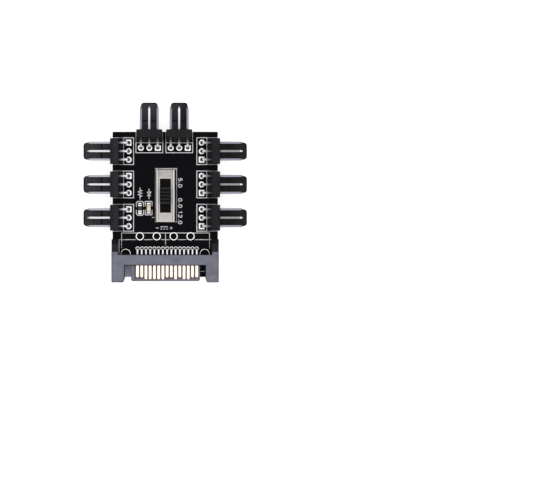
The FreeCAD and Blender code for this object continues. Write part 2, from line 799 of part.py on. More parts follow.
def contact_model(reach):
    """A plug contact: a strip with a round end on the blade, led through the bar
    and bent down into the board as a narrower tail."""
    body = new_model(f"{reach}_model")
    tip = f"(-{BAR_FRONT} - {reach})"
    low = f"({CONTACT_TOP} - contact_thick)"
    strip = new_sketch(body, "strip_plan", offset=low)
    half = "contact_width / 2"
    outline(strip, [
        (f"-{half}", "-bar_back"),
        (f"-{half}", f"{tip} + {half}", half),
        ("0", tip, half),
        (half, f"{tip} + {half}"),
        (half, "-bar_back"),
    ])
    pad(body, "strip", strip, "contact_thick")
    tail = new_sketch(body, "tail_side", "YZ_Plane")
    row = TAIL_ROW
    inner = "tail_bend"
    outer = "(tail_bend + contact_thick)"
    back = f"({row} + contact_thick / 2)"
    front = f"({row} - contact_thick / 2)"
    outline(tail, [
        ("-bar_back - contact_thick", low),
        (f"{front} - {inner}", low, f"-{inner}"),
        (front, f"{low} - {inner}"),
        (front, f"-{TAIL_LENGTH}"),
        (back, f"-{TAIL_LENGTH}"),
        (back, f"{CONTACT_TOP} - {outer}", outer),
        (f"{back} - {outer}", CONTACT_TOP),
        ("-bar_back - contact_thick", CONTACT_TOP),
    ])
    pad(body, "tail", tail, "tail_width", both_ways=True)
    return body


def make_lock(label, sign):
    """One board lock: a stamped strip in the plug's arm, its two prongs through the board."""
    body = new_body(label, across=f"{sign} * {LOCK_ACROSS}", along=LOCK_ROW, level=BOARD_TOP)
    face = new_sketch(body, "lock_face", "XZ_Plane")
    half = "lock_width / 2"
    outline(face, [
        (f"-{half}", "lock_rise"),
        (f"-{half}", f"-{TAIL_LENGTH} + lock_slit"),
        (f"-{half} + lock_slit / 2", f"-{TAIL_LENGTH}"),
        ("-lock_slit / 2", f"-{TAIL_LENGTH}"),
        ("-lock_slit / 2", "-lock_slit / 2"),
        ("lock_slit / 2", "-lock_slit / 2"),
        ("lock_slit / 2", f"-{TAIL_LENGTH}"),
        (f"{half} - lock_slit / 2", f"-{TAIL_LENGTH}"),
        (half, f"-{TAIL_LENGTH} + lock_slit"),
        (half, "lock_rise"),
    ])
    pad(body, "lock_strip", face, "lock_thick", both_ways=True)


# Slide switch

def switch_body(label, level=BOARD_TOP):
    """A sub-part of the switch, about the switch's own middle."""
    return new_body(label, across="switch_across", along="switch_along", level=level)


def make_switch_case():
    """The folded sheet case: a tray turned over the base, with the knob's window in
    its top and a tab at each end that goes through the board."""
    body = switch_body("switch_case")
    plan = new_sketch(body, "case_plan", offset="case_lift")
    rectangle(
        plan, "-case_width / 2", "case_width / 2", "-case_length / 2", "case_length / 2"
    )
    shell = pad(body, "case_outside", plan, "case_height - case_lift")
    top = value("case_height")
    rim = edge_names(shell, lambda edge: ends_at(edge, "z", top))
    fillet(body, "case_folds", shell, rim, "case_fold")
    inside = new_sketch(body, "case_inside_plan", offset="case_height - case_sheet")
    rectangle(
        inside, "-case_width / 2 + case_sheet", "case_width / 2 - case_sheet",
        "-case_length / 2 + case_sheet", "case_length / 2 - case_sheet",
    )
    cut_down(body, "case_inside", inside, "case_height - case_sheet - case_lift")
    window = new_sketch(body, "window_plan")
    rectangle(
        window, "-window_width / 2", "window_width / 2",
        f"-{WINDOW_LENGTH} / 2", f"{WINDOW_LENGTH} / 2",
    )
    cut_through(body, "window", window)
    tabs = new_sketch(body, "tab_plan", offset=f"-{TAIL_LENGTH}")
    rectangle(
        tabs, "-tab_width / 2", "tab_width / 2",
        "-case_length / 2", "-case_length / 2 + case_sheet",
    )
    rectangle(
        tabs, "-tab_width / 2", "tab_width / 2",
        "case_length / 2 - case_sheet", "case_length / 2",
    )
    pad(body, "tabs", tabs, f"{TAIL_LENGTH} + case_lift * 2")


def make_switch_base():
    """The insulating base, pierced for the eight terminals."""
    body = switch_body("switch_base")
    plan = new_sketch(body, "base_plan")
    half_x = "(case_width / 2 - case_sheet - base_gap)"
    half_y = "(case_length / 2 - case_sheet - base_gap)"
    rectangle(plan, f"-{half_x}", half_x, f"-{half_y}", half_y)
    pad(body, "base_plate", plan, "base_thick")
    holes = new_sketch(body, "stem_openings")
    for _, sign in SIDES:
        middle = f"{sign} * row_gap / 2"
        for row in stem_rows():
            rectangle(
                holes, f"{middle} - stem_width / 2", f"{middle} + stem_width / 2",
                f"{row} - stem_length / 2", f"{row} + stem_length / 2",
            )
    cut_through(body, "stem_holes", holes)


def make_terminals(label, sign):
    """Four stamped terminals in a row: a flat head on the base and a stem below it."""
    body = switch_body(label)
    middle = f"{sign} * row_gap / 2"
    first = stem_rows()[0]
    head_plan = new_sketch(body, "head_plan", offset="base_thick")
    rectangle(
        head_plan, f"{middle} - head_width / 2", f"{middle} + head_width / 2",
        f"{first} - head_length / 2", f"{first} + head_length / 2",
    )
    head = pad(body, "head", head_plan, "head_proud")
    stem_plan = new_sketch(body, "stem_plan", offset=f"-{TAIL_LENGTH}")
    rectangle(
        stem_plan, f"{middle} - stem_width / 2", f"{middle} + stem_width / 2",
        f"{first} - stem_length / 2", f"{first} + stem_length / 2",
    )
    stem = pad(body, "stem", stem_plan, f"{TAIL_LENGTH} + base_thick")
    row_of(body, "terminal_row", [head, stem], "Y_Axis", "throw", 4)


def make_slider():
    """The slider: a plate that fills the window, a ridged knob on it, and two
    pockets below that carry the clips."""
    body = switch_body("switch_slider")
    plate = new_sketch(body, "plate_plan", offset=SLIDER_LOW)
    half_x = "(case_width / 2 - case_sheet - slide_gap)"
    rectangle(
        plate, f"-{half_x}", half_x, f"-{WINDOW_LENGTH} / 2", f"{WINDOW_LENGTH} / 2",
    )
    pad(body, "plate", plate, f"{SLIDER_HIGH} - {SLIDER_LOW}")
    knob = new_sketch(body, "knob_side", "YZ_Plane")
    outline(knob, knob_outline())
    pad(body, "knob", knob, "window_width - 2 * slide_gap", both_ways=True)
    pockets = new_sketch(body, "pocket_plan", offset=CLIP_HIGH)
    for _, sign in SIDES:
        middle = f"{sign} * row_gap / 2"
        rectangle(
            pockets, f"{middle} - clip_width / 2 - slide_gap", f"{middle} + clip_width / 2 + slide_gap",
            "-clip_length / 2 - slide_gap", "clip_length / 2 + slide_gap",
        )
    cut_down(body, "clip_pockets", pockets, f"{CLIP_HIGH} - {SLIDER_LOW}")


def knob_outline():
    """Side view of the knob: straight ends and a crest with a groove between ridges."""
    top = "(case_height + knob_rise)"
    half = "knob_length / 2"
    corners = [(f"-{half}", SLIDER_HIGH), (half, SLIDER_HIGH), (half, f"{top} - ridge_draft")]
    corners.append((f"{half} - ridge_draft", top))
    for step in (1.5, 0.5, -0.5, -1.5):
        middle = f"({step}) * ridge_pitch"
        corners += [
            (f"{middle} + ridge_groove / 2 + ridge_draft", top),
            (f"{middle} + ridge_groove / 2", f"{top} - ridge_depth"),
            (f"{middle} - ridge_groove / 2", f"{top} - ridge_depth"),
            (f"{middle} - ridge_groove / 2 - ridge_draft", top),
        ]
    corners += [(f"-{half} + ridge_draft", top), (f"-{half}", f"{top} - ridge_draft")]
    return corners


def make_clip(label, sign):
    """One sprung clip: a strip with an arch under the slider and a foot each side,
    which bridges two terminal heads."""
    body = switch_body(label)
    side = new_sketch(body, "clip_side", "YZ_Plane", offset=f"{sign} * row_gap / 2")
    line = [
        ("clip_length / 2", f"{CLIP_LOW} + clip_arch * 0.8"),
        ("throw / 2 + clip_thick", CLIP_LOW),
        ("throw / 2 - clip_thick", CLIP_LOW),
        ("clip_thick * 2", f"{CLIP_LOW} + clip_arch"),
    ]
    under = [(f"-({y})", z) for y, z in line] + [(y, z) for y, z in reversed(line)]
    over = [(y, f"{z} + clip_thick") for y, z in reversed(under)]
    outline(side, under + over)
    pad(body, "clip_strip", side, "clip_width", both_ways=True)


# Chip parts

def make_status_light():
    """The chip light: a flat carrier and a lens with sloping sides on it."""
    base = new_body(
        "status_led_base", across="light_across", along="light_along", level=f"{BOARD_TOP} + chip_lift"
    )
    plan = new_sketch(base, "carrier_plan")
    rectangle(plan, "-light_width / 2", "light_width / 2", "-light_length / 2", "light_length / 2")
    pad(base, "carrier", plan, "light_base")
    lens = new_body(
        "status_led_lens", across="light_across", along="light_along",
        level=f"{BOARD_TOP} + chip_lift + light_base",
    )
    side = new_sketch(lens, "lens_side", "YZ_Plane")
    outline(side, [
        ("-lens_length / 2", "0"),
        ("lens_length / 2", "0"),
        ("lens_length / 2 - lens_draft", "lens_height"),
        ("-lens_length / 2 + lens_draft", "lens_height"),
    ])
    pad(lens, "lens_block", side, "light_width", both_ways=True)


def make_resistor():
    """The chip resistor."""
    body = new_body(
        "chip_resistor", across="resistor_across", along="resistor_along",
        level=f"{BOARD_TOP} + chip_lift",
    )
    plan = new_sketch(body, "resistor_plan")
    rectangle(
        plan, "-resistor_width / 2", "resistor_width / 2",
        "-resistor_length / 2", "resistor_length / 2",
    )
    pad(body, "resistor_block", plan, "resistor_thick")


# The whole hub

make_liner()
make_foam()
make_board()
header_housing = header_housing_model()
header_pins = header_pins_model()
for name, across, along, turn in header_places():
    placed_copy(f"{name}_housing", header_housing, across, along, BOARD_TOP, turn)
    placed_copy(f"{name}_pins", header_pins, across, along, BOARD_TOP, turn)
make_plug_housing()
contacts = {reach: contact_model(reach) for reach in ("contact_long", "contact_short")}
for number in contact_numbers():
    model = contacts[contact_reach(number)]
    placed_copy(f"power_contact_{number}", model, contact_across(number), "0", BOARD_TOP)
for side, sign in SIDES:
    make_lock(f"board_lock_{side}", sign)
make_switch_case()
make_switch_base()
make_slider()
for side, sign in SIDES:
    make_terminals(f"switch_terminals_{side}", sign)
    make_clip(f"switch_clip_{side}", sign)
make_status_light()
make_resistor()
doc.recompute()

for thing in doc.Objects:
    if "Invalid" in thing.State or "Error" in thing.State:
        raise RuntimeError(f"{thing.Label} failed: {thing.State}")

for piece in pieces:
    if piece.Shape.isNull() or not piece.Shape.isValid():
        raise RuntimeError(f"{piece.Label} has no valid shape")

os.makedirs("parts", exist_ok=True)
for piece in pieces:
    piece.Shape.exportStep(f"parts/{piece.Label}.step")
    print(f"{piece.Label}: {len(piece.Shape.Solids)} solids, {piece.Shape.Volume:.2f} cubic mm")
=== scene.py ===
# %% [markdown]
# # Fan controller hub
#
# The hub is a small black circuit board that lies flat on a foam pad. The packed
# model brings every construction piece at its real size: the board, the headers
# and their pins, the power plug with its contacts, the slide switch and the chip
# parts. This file gives those pieces their finishes and adds what is printed,
# plated or soldered on the board: rings, ink lines, signs and solder.
#
# Meshes are in metres. Lengths are written in millimetres times MM, and tables
# of places on the board in plain millimetres.

# %% Load the frame
import bpy
import json
import math
import numpy as np
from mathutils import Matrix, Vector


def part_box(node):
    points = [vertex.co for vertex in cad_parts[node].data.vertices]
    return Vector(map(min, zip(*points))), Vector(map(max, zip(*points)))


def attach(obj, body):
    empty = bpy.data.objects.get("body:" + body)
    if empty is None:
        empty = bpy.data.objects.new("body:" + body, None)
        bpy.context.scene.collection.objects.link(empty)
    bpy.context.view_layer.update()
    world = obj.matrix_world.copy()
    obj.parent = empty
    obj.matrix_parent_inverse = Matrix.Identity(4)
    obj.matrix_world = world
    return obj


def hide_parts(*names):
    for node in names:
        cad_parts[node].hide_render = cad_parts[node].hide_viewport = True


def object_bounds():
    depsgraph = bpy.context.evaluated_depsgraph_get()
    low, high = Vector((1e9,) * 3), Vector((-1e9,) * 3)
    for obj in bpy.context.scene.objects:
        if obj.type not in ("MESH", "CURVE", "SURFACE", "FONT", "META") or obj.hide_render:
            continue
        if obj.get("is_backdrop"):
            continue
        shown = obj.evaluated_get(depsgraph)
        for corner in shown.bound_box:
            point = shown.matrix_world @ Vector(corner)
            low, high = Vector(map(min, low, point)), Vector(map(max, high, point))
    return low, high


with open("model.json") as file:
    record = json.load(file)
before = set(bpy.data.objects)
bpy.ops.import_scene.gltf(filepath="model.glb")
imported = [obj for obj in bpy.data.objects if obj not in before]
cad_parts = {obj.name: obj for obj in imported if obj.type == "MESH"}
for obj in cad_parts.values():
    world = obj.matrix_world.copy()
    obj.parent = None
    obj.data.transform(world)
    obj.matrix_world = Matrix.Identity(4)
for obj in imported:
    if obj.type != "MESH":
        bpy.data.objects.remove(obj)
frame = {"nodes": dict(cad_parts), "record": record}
CAD_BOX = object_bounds()
MM = 0.001
nodes = frame["nodes"]
print("pieces in the frame:", len(nodes))

# %% [markdown]
# ## Camera
#
# The hub was photographed from straight above through a long lens, so upright
# walls hide nothing. An orthographic camera would draw it as flatly, but a long
# lens far away is what was used. It isn't shifted: it stands beside the hub's
# middle, so that the hub lands left of the middle of the picture.

# %% Camera
PICTURE_WIDTH, PICTURE_HEIGHT = 533, 487
PIXELS_PER_MM = 3.33
BOARD_MIDDLE_PIXEL = (165.2, 204.35)
CAMERA_HEIGHT = 4000 * MM
CLIP_END = 20.0
SENSOR_WIDTH = 36.0


def box_of(node):
    """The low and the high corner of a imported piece's box, as arrays."""
    low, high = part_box(node)
    return np.array(low), np.array(high)


def new_object(name, data):
    """An object for a mesh, a lamp or a camera, put into the scene."""
    item = bpy.data.objects.new(name, data)
    bpy.context.scene.collection.objects.link(item)
    return item


board_high = box_of("circuit_board")[1]
TOP = float(board_high[2])
view_width = PICTURE_WIDTH / PIXELS_PER_MM * MM
camera_x = (PICTURE_WIDTH / 2 - BOARD_MIDDLE_PIXEL[0]) / PIXELS_PER_MM * MM
camera_y = (BOARD_MIDDLE_PIXEL[1] - PICTURE_HEIGHT / 2) / PIXELS_PER_MM * MM

camera_data = bpy.data.cameras.new("camera")
camera_data.sensor_width = SENSOR_WIDTH
camera_data.lens = SENSOR_WIDTH * CAMERA_HEIGHT / view_width
camera_data.clip_end = CLIP_END
camera = new_object("camera", camera_data)
camera.location = (camera_x, camera_y, TOP + CAMERA_HEIGHT)
bpy.context.scene.camera = camera
bpy.context.scene.view_settings.view_transform = "Standard"
print("lens in mm:", round(camera_data.lens, 1))

# %% [markdown]
# ## Light
#
# A bright tent gives such pictures their even light and their white ground. Its
# walls could be modelled, but a white world does the same and renders faster. It
# is plain white to the camera, and a little less to metal and to light. One large
# lamp overhead adds the shine on level metal, and a smaller one from the upper
# left gives the soft shadows. Together they light a level face so that its colour
# renders about as it is written.

# %% White world
FULL_WHITE = (1.0, 1.0, 1.0, 1.0)


def feed(owner, node, inputs):
    """Give a node's inputs plain values, or link them to other nodes' outputs."""
    for name, value in inputs.items():
        if isinstance(value, bpy.types.NodeSocket):
            owner.node_tree.links.new(value, node.inputs[name])
        else:
            node.inputs[name].default_value = value


def new_node(owner, kind, inputs):
    """A shader node of a material or of the world, with its inputs fed."""
    node = owner.node_tree.nodes.new(kind)
    feed(owner, node, inputs)
    return node


tent = bpy.data.worlds.new("tent")
tent.use_nodes = True
bpy.context.scene.world = tent
ray = new_node(tent, "ShaderNodeLightPath", {}).outputs
print("facts about a ray that the world can read:", len(ray))

# %% Strength of the white world
WORLD_STRENGTH = 0.78
MIRRORED_STRENGTH = 0.8


def math_of(owner, operation, first, second=0.0):
    """What an operation makes of two values, each a number or an output."""
    node = new_node(owner, "ShaderNodeMath", {0: first, 1: second})
    node.operation = operation
    return node.outputs[0]


def remap(owner, value, start, end, low=0.0, high=1.0):
    """The value, moved from the range start to end into the range low to high."""
    return new_node(owner, "ShaderNodeMapRange", {
        "Value": value, "From Min": start, "From Max": end, "To Min": low, "To Max": high,
    }).outputs["Result"]


mirrored_ray = math_of(tent, "MAXIMUM", ray["Is Glossy Ray"], ray["Is Transmission Ray"])
lit = remap(tent, mirrored_ray, 0.0, 1.0, WORLD_STRENGTH, MIRRORED_STRENGTH)
feed(tent, tent.node_tree.nodes["Background"], {
    "Color": FULL_WHITE, "Strength": math_of(tent, "MAXIMUM", lit, ray["Is Camera Ray"]),
})
print("world strength:", WORLD_STRENGTH, "and in mirrors:", MIRRORED_STRENGTH)

# %% Lamps
OVERHEAD_POWER = 0.42
SIDE_POWER = 0.25


def area_lamp(name, place, size, power):
    """A square lamp that faces the hub: it tips by the angle between straight down
    and the line to the hub's middle, and turns about the upright axis towards it."""
    data = bpy.data.lights.new(name, "AREA")
    data.size = size
    data.energy = power
    lamp = new_object(name, data)
    lamp.location = place
    x, y, z = np.zeros(3) - place
    lamp.rotation_euler = (math.atan2(math.hypot(x, y), -z), 0.0, math.atan2(-x, y))
    print(name, "in watts:", power)


area_lamp("overhead_lamp", (0.0, 0.0, 0.6), 0.5, OVERHEAD_POWER)
area_lamp("side_lamp", (-0.35, 0.3, 0.4), 0.18, SIDE_POWER)

# %% [markdown]
# ## Floor
#
# The ground in the photograph is pure white. The world behind the hub could be
# that ground, but it takes no shadow. A real floor keeps a soft contact shadow,
# because only its camera view is lifted to white, and not its light.

# %% Floor finish
FLOOR_WHITE = (0.9, 0.9, 0.9)
FLOOR_GLOW = 0.72


def shader_of(material):
    """The material's Principled shader."""
    return material.node_tree.nodes["Principled BSDF"]


def shade(material, socket, source):
    """Feed one input of the shader."""
    feed(material, shader_of(material), {socket: source})


def finish(name, color, roughness, metallic=0.0, specular=0.5):
    """A new material with one Principled shader, and its plain values set on it."""
    material = bpy.data.materials.new(name)
    material.use_nodes = True
    material.diffuse_color = (*color, 1.0)
    feed(material, shader_of(material), {
        "Base Color": (*color, 1.0), "Roughness": roughness,
        "Metallic": metallic, "Specular IOR Level": specular,
    })
    print("finish:", name)
    return material


floor_white = finish("floor_white", FLOOR_WHITE, roughness=0.9, specular=0.0)
ray = new_node(floor_white, "ShaderNodeLightPath", {}).outputs
glow = math_of(floor_white, "MULTIPLY", ray["Is Camera Ray"], FLOOR_GLOW)
shade(floor_white, "Emission Color", FULL_WHITE)
shade(floor_white, "Emission Strength", glow)

# %% Floor
FLOOR_HALF = 3.0
FLOOR_DROP = 0.02 * MM

corners = np.array([(-1, -1, 0), (1, -1, 0), (1, 1, 0), (-1, 1, 0)]) * FLOOR_HALF
floor_mesh = bpy.data.meshes.new("floor")
floor_mesh.from_pydata((corners - (0.0, 0.0, FLOOR_DROP)).tolist(), [], [(0, 1, 2, 3)])
floor_mesh.materials.append(floor_white)
floor_piece = new_object("floor", floor_mesh)
floor_piece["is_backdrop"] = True
print("floor in metres:", 2.0 * FLOOR_HALF, "each way")

# %% [markdown]
# ## Matt finishes
#
# Printed ink, the skin of foam, paper and baked ceramic are dull and a little
# uneven. A picture of each could be laid over the pieces, but noise worked out in
# the shader needs none. On object coordinates it keeps its scale whatever the
# piece is, because the mesh is in metres and its object isn't moved or scaled.

# %% Noise
NOISE_LOW, NOISE_HIGH = 0.3, 0.7


def object_point(material, stretch=(1.0, 1.0, 1.0)):
    """A point of the piece in metres, stretched along its axes."""
    point = new_node(material, "ShaderNodeTexCoord", {}).outputs["Object"]
    mapping = new_node(material, "ShaderNodeMapping", {"Vector": point, "Scale": stretch})
    return mapping.outputs["Vector"]


def noise(material, grain, detail=4.0, stretch=(1.0, 1.0, 1.0)):
    """Noise whose grains are about that size; most of it lies from low to high."""
    return new_node(material, "ShaderNodeTexNoise", {
        "Vector": object_point(material, stretch), "Scale": 1.0 / grain, "Detail": detail,
    }).outputs["Fac"]


print("most noise lies from", NOISE_LOW, "to", NOISE_HIGH)

# %% Colours that wander
INK_WHITE = (0.98, 0.98, 1.0)
INK_MOTTLE = 0.16


def tint(color, factor):
    """A colour made lighter or darker."""
    return tuple(min(1.0, channel * factor) for channel in color)


def ramp(material, factor, stops):
    """A colour for each value of the factor; a stop is (place, colour)."""
    node = new_node(material, "ShaderNodeValToRGB", {"Fac": factor})
    elements = node.color_ramp.elements
    while len(elements) < len(stops):
        elements.new(0.5)
    for element, (place, color) in zip(elements, stops):
        element.position = place
        element.color = (*color, 1.0)
    return node.outputs["Color"]


def mottled(material, cloud, color, dark, pale):
    """The colour times dark where the noise is low, and times pale where it is high."""
    stops = [(NOISE_LOW, tint(color, dark)), (NOISE_HIGH, tint(color, pale))]
    return ramp(material, cloud, stops)


print("darkest ink:", np.round(tint(INK_WHITE, 1.0 - INK_MOTTLE), 3))

# %% Matt finishes
FOAM_BLACK = (0.016, 0.016, 0.018)
LINER_WHITE = (0.86, 0.86, 0.85)
CHIP_BLACK = (0.05, 0.05, 0.06)
CARRIER_WHITE = (0.80, 0.79, 0.75)
MATT_SHINE = 0.3
MATT_RELIEF = 0.8


def bump(material, height, depth, strength):
    """Shallow relief of the surface, with that depth in metres."""
    inputs = {"Height": height, "Distance": depth, "Strength": strength}
    shade(material, "Normal", new_node(material, "ShaderNodeBump", inputs).outputs["Normal"])


def matt(name, color, roughness, grain, mottle, depth):
    """A dull, grainy finish."""
    material = finish(name, color, roughness, specular=MATT_SHINE)
    cloud = noise(material, grain)
    shade(material, "Base Color", mottled(material, cloud, color, 1.0 - mottle, 1.0))
    bump(material, cloud, depth, MATT_RELIEF)
    return material


ink = matt("white_ink", INK_WHITE, 0.55, 0.15 * MM, INK_MOTTLE, 0.01 * MM)
foam = matt("foam_skin", FOAM_BLACK, 0.85, 0.18 * MM, 0.45, 0.06 * MM)
liner = matt("liner_paper", LINER_WHITE, 0.45, 0.6 * MM, 0.03, 0.01 * MM)
chip_black = matt("chip_black", CHIP_BLACK, 0.3, 0.2 * MM, 0.3, 0.004 * MM)
carrier = matt("led_carrier", CARRIER_WHITE, 0.5, 0.3 * MM, 0.08, 0.004 * MM)

# %% [markdown]
# ## Plated metals
#
# Pads and locks are tinned: bright, with a cloudy and slightly grainy skin. The
# switch's inner parts are silvered brass. A mirror of one plain colour would look
# like glass, so colour and roughness both follow the same noise, and a small
# bevel's normals round the look of edges that are sharp in the mesh.

# %% Plated metals
TIN = (0.82, 0.82, 0.86)
# pure white, brighter than tin is: a painted glare for pads that burn out to white
BURNT_OUT_TIN = (1.0, 1.0, 1.0)
SILVERED_BRASS = (0.88, 0.84, 0.74)


def spread(material, cloud, low, high):
    """Noise, moved into the range low to high."""
    return remap(material, cloud, NOISE_LOW, NOISE_HIGH, low, high)


def bevelled(material, radius, samples):
    """The normal of a small bevel, which leans over near an edge."""
    bevel = new_node(material, "ShaderNodeBevel", {"Radius": radius})
    bevel.samples = samples
    return bevel.outputs["Normal"]


def soften_edges(material, radius):
    """Round the look of sharp edges: the relief stands on a small bevel's normals."""
    relief = shader_of(material).inputs["Normal"].links[0].from_node
    feed(material, relief, {"Normal": bevelled(material, radius, samples=4)})


def plated(name, color, roughness, grain, mottle, stretch=(1.0, 1.0, 1.0), relief=0.5):
    """A plated metal: slightly cloudy in colour and in roughness."""
    material = finish(name, color, roughness, metallic=1.0)
    cloud = noise(material, grain, stretch=stretch)
    shade(material, "Base Color", mottled(material, cloud, color, 1.0 - mottle, 1.0))
    shade(material, "Roughness", spread(material, cloud, roughness, roughness + 0.12))
    bump(material, cloud, depth=0.006 * MM, strength=relief)
    soften_edges(material, 0.05 * MM)
    return material


tinned_metal = plated("tinned_metal", TIN, 0.22, 0.25 * MM, 0.15)
bright_tin = plated("bright_tin", BURNT_OUT_TIN, 0.18, 0.25 * MM, 0.06)
terminal_metal = plated("terminal_metal", SILVERED_BRASS, 0.3, 0.2 * MM, 0.1)

# %% [markdown]
# ## Board
#
# The board's faces are covered with black solder mask, and its sawn edges show
# the bare laminate in thin layers. The edges could be given a material of their
# own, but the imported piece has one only, so the faces and the edges are told
# apart by the direction that each looks in.

# %% Faces and edges
MIX_FIRST, MIX_SECOND, MIX_RESULT = 6, 7, 2


def part_of(material, vector, axis):
    """One coordinate of a point or of a direction."""
    return new_node(material, "ShaderNodeSeparateXYZ", {0: vector}).outputs[axis]


def looking_up(material):
    """How level the surface is: 1 on level faces, 0 on upright ones."""
    normal = new_node(material, "ShaderNodeNewGeometry", {}).outputs["Normal"]
    return math_of(material, "ABSOLUTE", part_of(material, normal, "Z"))


def mixed(material, factor, first, second):
    """First where the factor is 0, second where it is 1; each a colour or an output."""
    node = new_node(material, "ShaderNodeMix", {"Factor": factor})
    node.data_type = "RGBA"
    for number, source in ((MIX_FIRST, first), (MIX_SECOND, second)):
        value = (*source, 1.0) if isinstance(source, tuple) else source
        feed(material, node, {number: value})
    return node.outputs[MIX_RESULT]


print("a Mix node takes its two colours at inputs", MIX_FIRST, "and", MIX_SECOND)

# %% Board finish
MASK_BLACK = (0.0028, 0.0026, 0.0048)
LAMINATE = (0.098, 0.076, 0.044)
WAVE_SCALE = 1.0 / (1.2 * MM)


def layered(material):
    """Laminate in slightly uneven layers across the board's thickness. A wave node
    draws a dark and a pale band in a tenth of pi of its units."""
    waves = new_node(material, "ShaderNodeTexWave", {
        "Vector": object_point(material), "Scale": WAVE_SCALE,
        "Distortion": 1.5, "Detail Scale": 3.0,
    })
    waves.bands_direction = "Z"
    stops = [(0.0, tint(LAMINATE, 0.75)), (1.0, tint(LAMINATE, 1.15))]
    return ramp(material, waves.outputs["Fac"], stops)


board_mask = finish("board_mask", MASK_BLACK, roughness=0.3, specular=0.04)
mask = mottled(board_mask, noise(board_mask, 2.5 * MM), MASK_BLACK, 0.8, 1.3)
color = mixed(board_mask, looking_up(board_mask), layered(board_mask), mask)
shade(board_mask, "Base Color", color)
bump(board_mask, noise(board_mask, 0.35 * MM, detail=2.0), depth=0.004 * MM, strength=0.5)
print("a pair of layers in mm:", round(math.pi / 10 / WAVE_SCALE / MM, 2))

# %% [markdown]
# ## Moulded plastic
#
# The headers, the plug and the switch's base are moulded or pressed, with fibres
# that show as a faint mottle and a fine grain. Shade is painted darker along the
# edges and on the walls. Edges could be picked out by hand, but a bevel's normal
# leans away from straight up near each of them, and that lean can be measured
# anywhere.

# %% Moulded plastic
INSULATOR_BROWN = (0.16, 0.085, 0.04)
EDGE_SHADE_DARKNESS = 0.25
LEANING, UPRIGHT = 0.8, 0.99


def near_edge(material, radius):
    """1 on open level faces and less near an edge: the upward part of a bevel's
    normal, from leaning to upright."""
    up = part_of(material, bevelled(material, radius, samples=6), "Z")
    return remap(material, up, LEANING, UPRIGHT)


def fine_grain(material, grain, depth, strength, edge):
    """Relief of fine grains, over edges that look rounded by a radius."""
    bump(material, noise(material, grain, detail=2.0), depth, strength)
    soften_edges(material, edge)


def moulded(name, color, roughness, grain, mottle):
    """A moulded plastic: a mottled colour and a fine grain, with painted shade at its
    edges and walls.
    """
    material = finish(name, color, roughness, specular=0.15)
    cloud = noise(material, 0.9 * MM)
    flat = mottled(material, cloud, color, 1.0 - mottle, 1.0 + mottle)
    rim = near_edge(material, 0.14 * MM)
    # painted shade: the edges and upright walls take a darker copy of the colour
    shade(material, "Base Color", mixed(material, rim, tint(color, EDGE_SHADE_DARKNESS), flat))
    shade(material, "Roughness", spread(material, cloud, roughness - 0.06, roughness + 0.06))
    fine_grain(material, grain, depth=0.012 * MM, strength=0.6, edge=0.08 * MM)
    return material


insulator = moulded("switch_insulator", INSULATOR_BROWN, 0.6, 0.1 * MM, 0.2)

# %% [markdown]
# ## Knob
#
# The ridges of the black knob are a little paler on top. That could be painted
# on, but the ridges are the highest part of the piece, so height alone says
# where it goes.

# %% Knob plastic
KNOB_BLACK = (0.004, 0.004, 0.0045)
KNOB_RIDGE_TOP = (0.026, 0.026, 0.028)
RIDGE_DEPTH = 0.45 * MM


def along_axis(material, axis, start, end, mirrored=False):
    """0 at one coordinate in metres and 1 at another. Mirrored takes the
    coordinate's size only, so that both sides of the hub are alike."""
    place = part_of(material, object_point(material), axis)
    if mirrored:
        place = math_of(material, "ABSOLUTE", place)
    return remap(material, place, start, end)


knob_plastic = finish("knob_plastic", KNOB_BLACK, roughness=0.4, specular=0.05)
knob_top = box_of("switch_slider")[1][2]
ridge_tops = along_axis(knob_plastic, "Z", knob_top - RIDGE_DEPTH * 0.8, knob_top - RIDGE_DEPTH * 0.2)
cloud = noise(knob_plastic, 0.5 * MM)
pale = mottled(knob_plastic, cloud, KNOB_RIDGE_TOP, 0.8, 1.2)
shade(knob_plastic, "Base Color", mixed(knob_plastic, ridge_tops, KNOB_BLACK, pale))
shade(knob_plastic, "Roughness", spread(knob_plastic, cloud, 0.32, 0.46))
fine_grain(knob_plastic, 0.1 * MM, depth=0.008 * MM, strength=0.5, edge=0.06 * MM)
print("knob's top in mm:", round(knob_top / MM, 2))

# %% [markdown]
# ## Header plastic
#
# A header is one moulding of black nylon: a comb of slots behind, a block with a
# face in front, and a low tongue with a latch step across it. Each of them
# catches the light in its own way, and the side lamp favours the left edge. That
# light and shade are painted into the colour. The parts could be cut apart and
# given materials, but height and the distance from the pad row tell them apart
# without a cut.

# %% Colour of the header blocks
# painted light and shade of the blocks: lit on the left headers, shaded on the rest
LIT_BLOCK_BLACK = (0.022, 0.021, 0.027)
LIT_FACE_BLACK = (0.009, 0.0085, 0.0105)
COMB_SHADE_BLACK = (0.0085, 0.0080, 0.0095)
SHADED_BLACK = (0.0115, 0.0110, 0.0130)
COMB_END = 3.2 * MM
BLOCK_FACE = 5.5 * MM
LEFT_HEADERS_END = -9.0 * MM


def right_of_left_headers(material):
    """0 on the three headers of the left edge and 1 on the rest."""
    return along_axis(material, "X", LEFT_HEADERS_END, LEFT_HEADERS_END + 0.5 * MM)


def block_color(material, axis, row):
    """Where the comb is, and the block's colour with painted light and shade. On the
    left headers painted light fades from the comb to the face, and the comb gets
    painted shade; where the side lamp doesn't reach, all is painted evenly dark."""
    end = row + COMB_END
    comb = along_axis(material, axis, end, end - 0.2 * MM, mirrored=True)
    face = along_axis(material, axis, end + 0.3 * MM, row + BLOCK_FACE, mirrored=True)
    side = mottled(material, noise(material, 0.9 * MM), LIT_BLOCK_BLACK, 0.7, 1.3)
    lit = mixed(material, comb, mixed(material, face, side, LIT_FACE_BLACK), COMB_SHADE_BLACK)
    shaded = mottled(material, noise(material, 0.7 * MM), SHADED_BLACK, 0.65, 1.35)
    return comb, mixed(material, right_of_left_headers(material), lit, shaded)


print("block's face in mm from the pad row:", round(BLOCK_FACE / MM, 2))
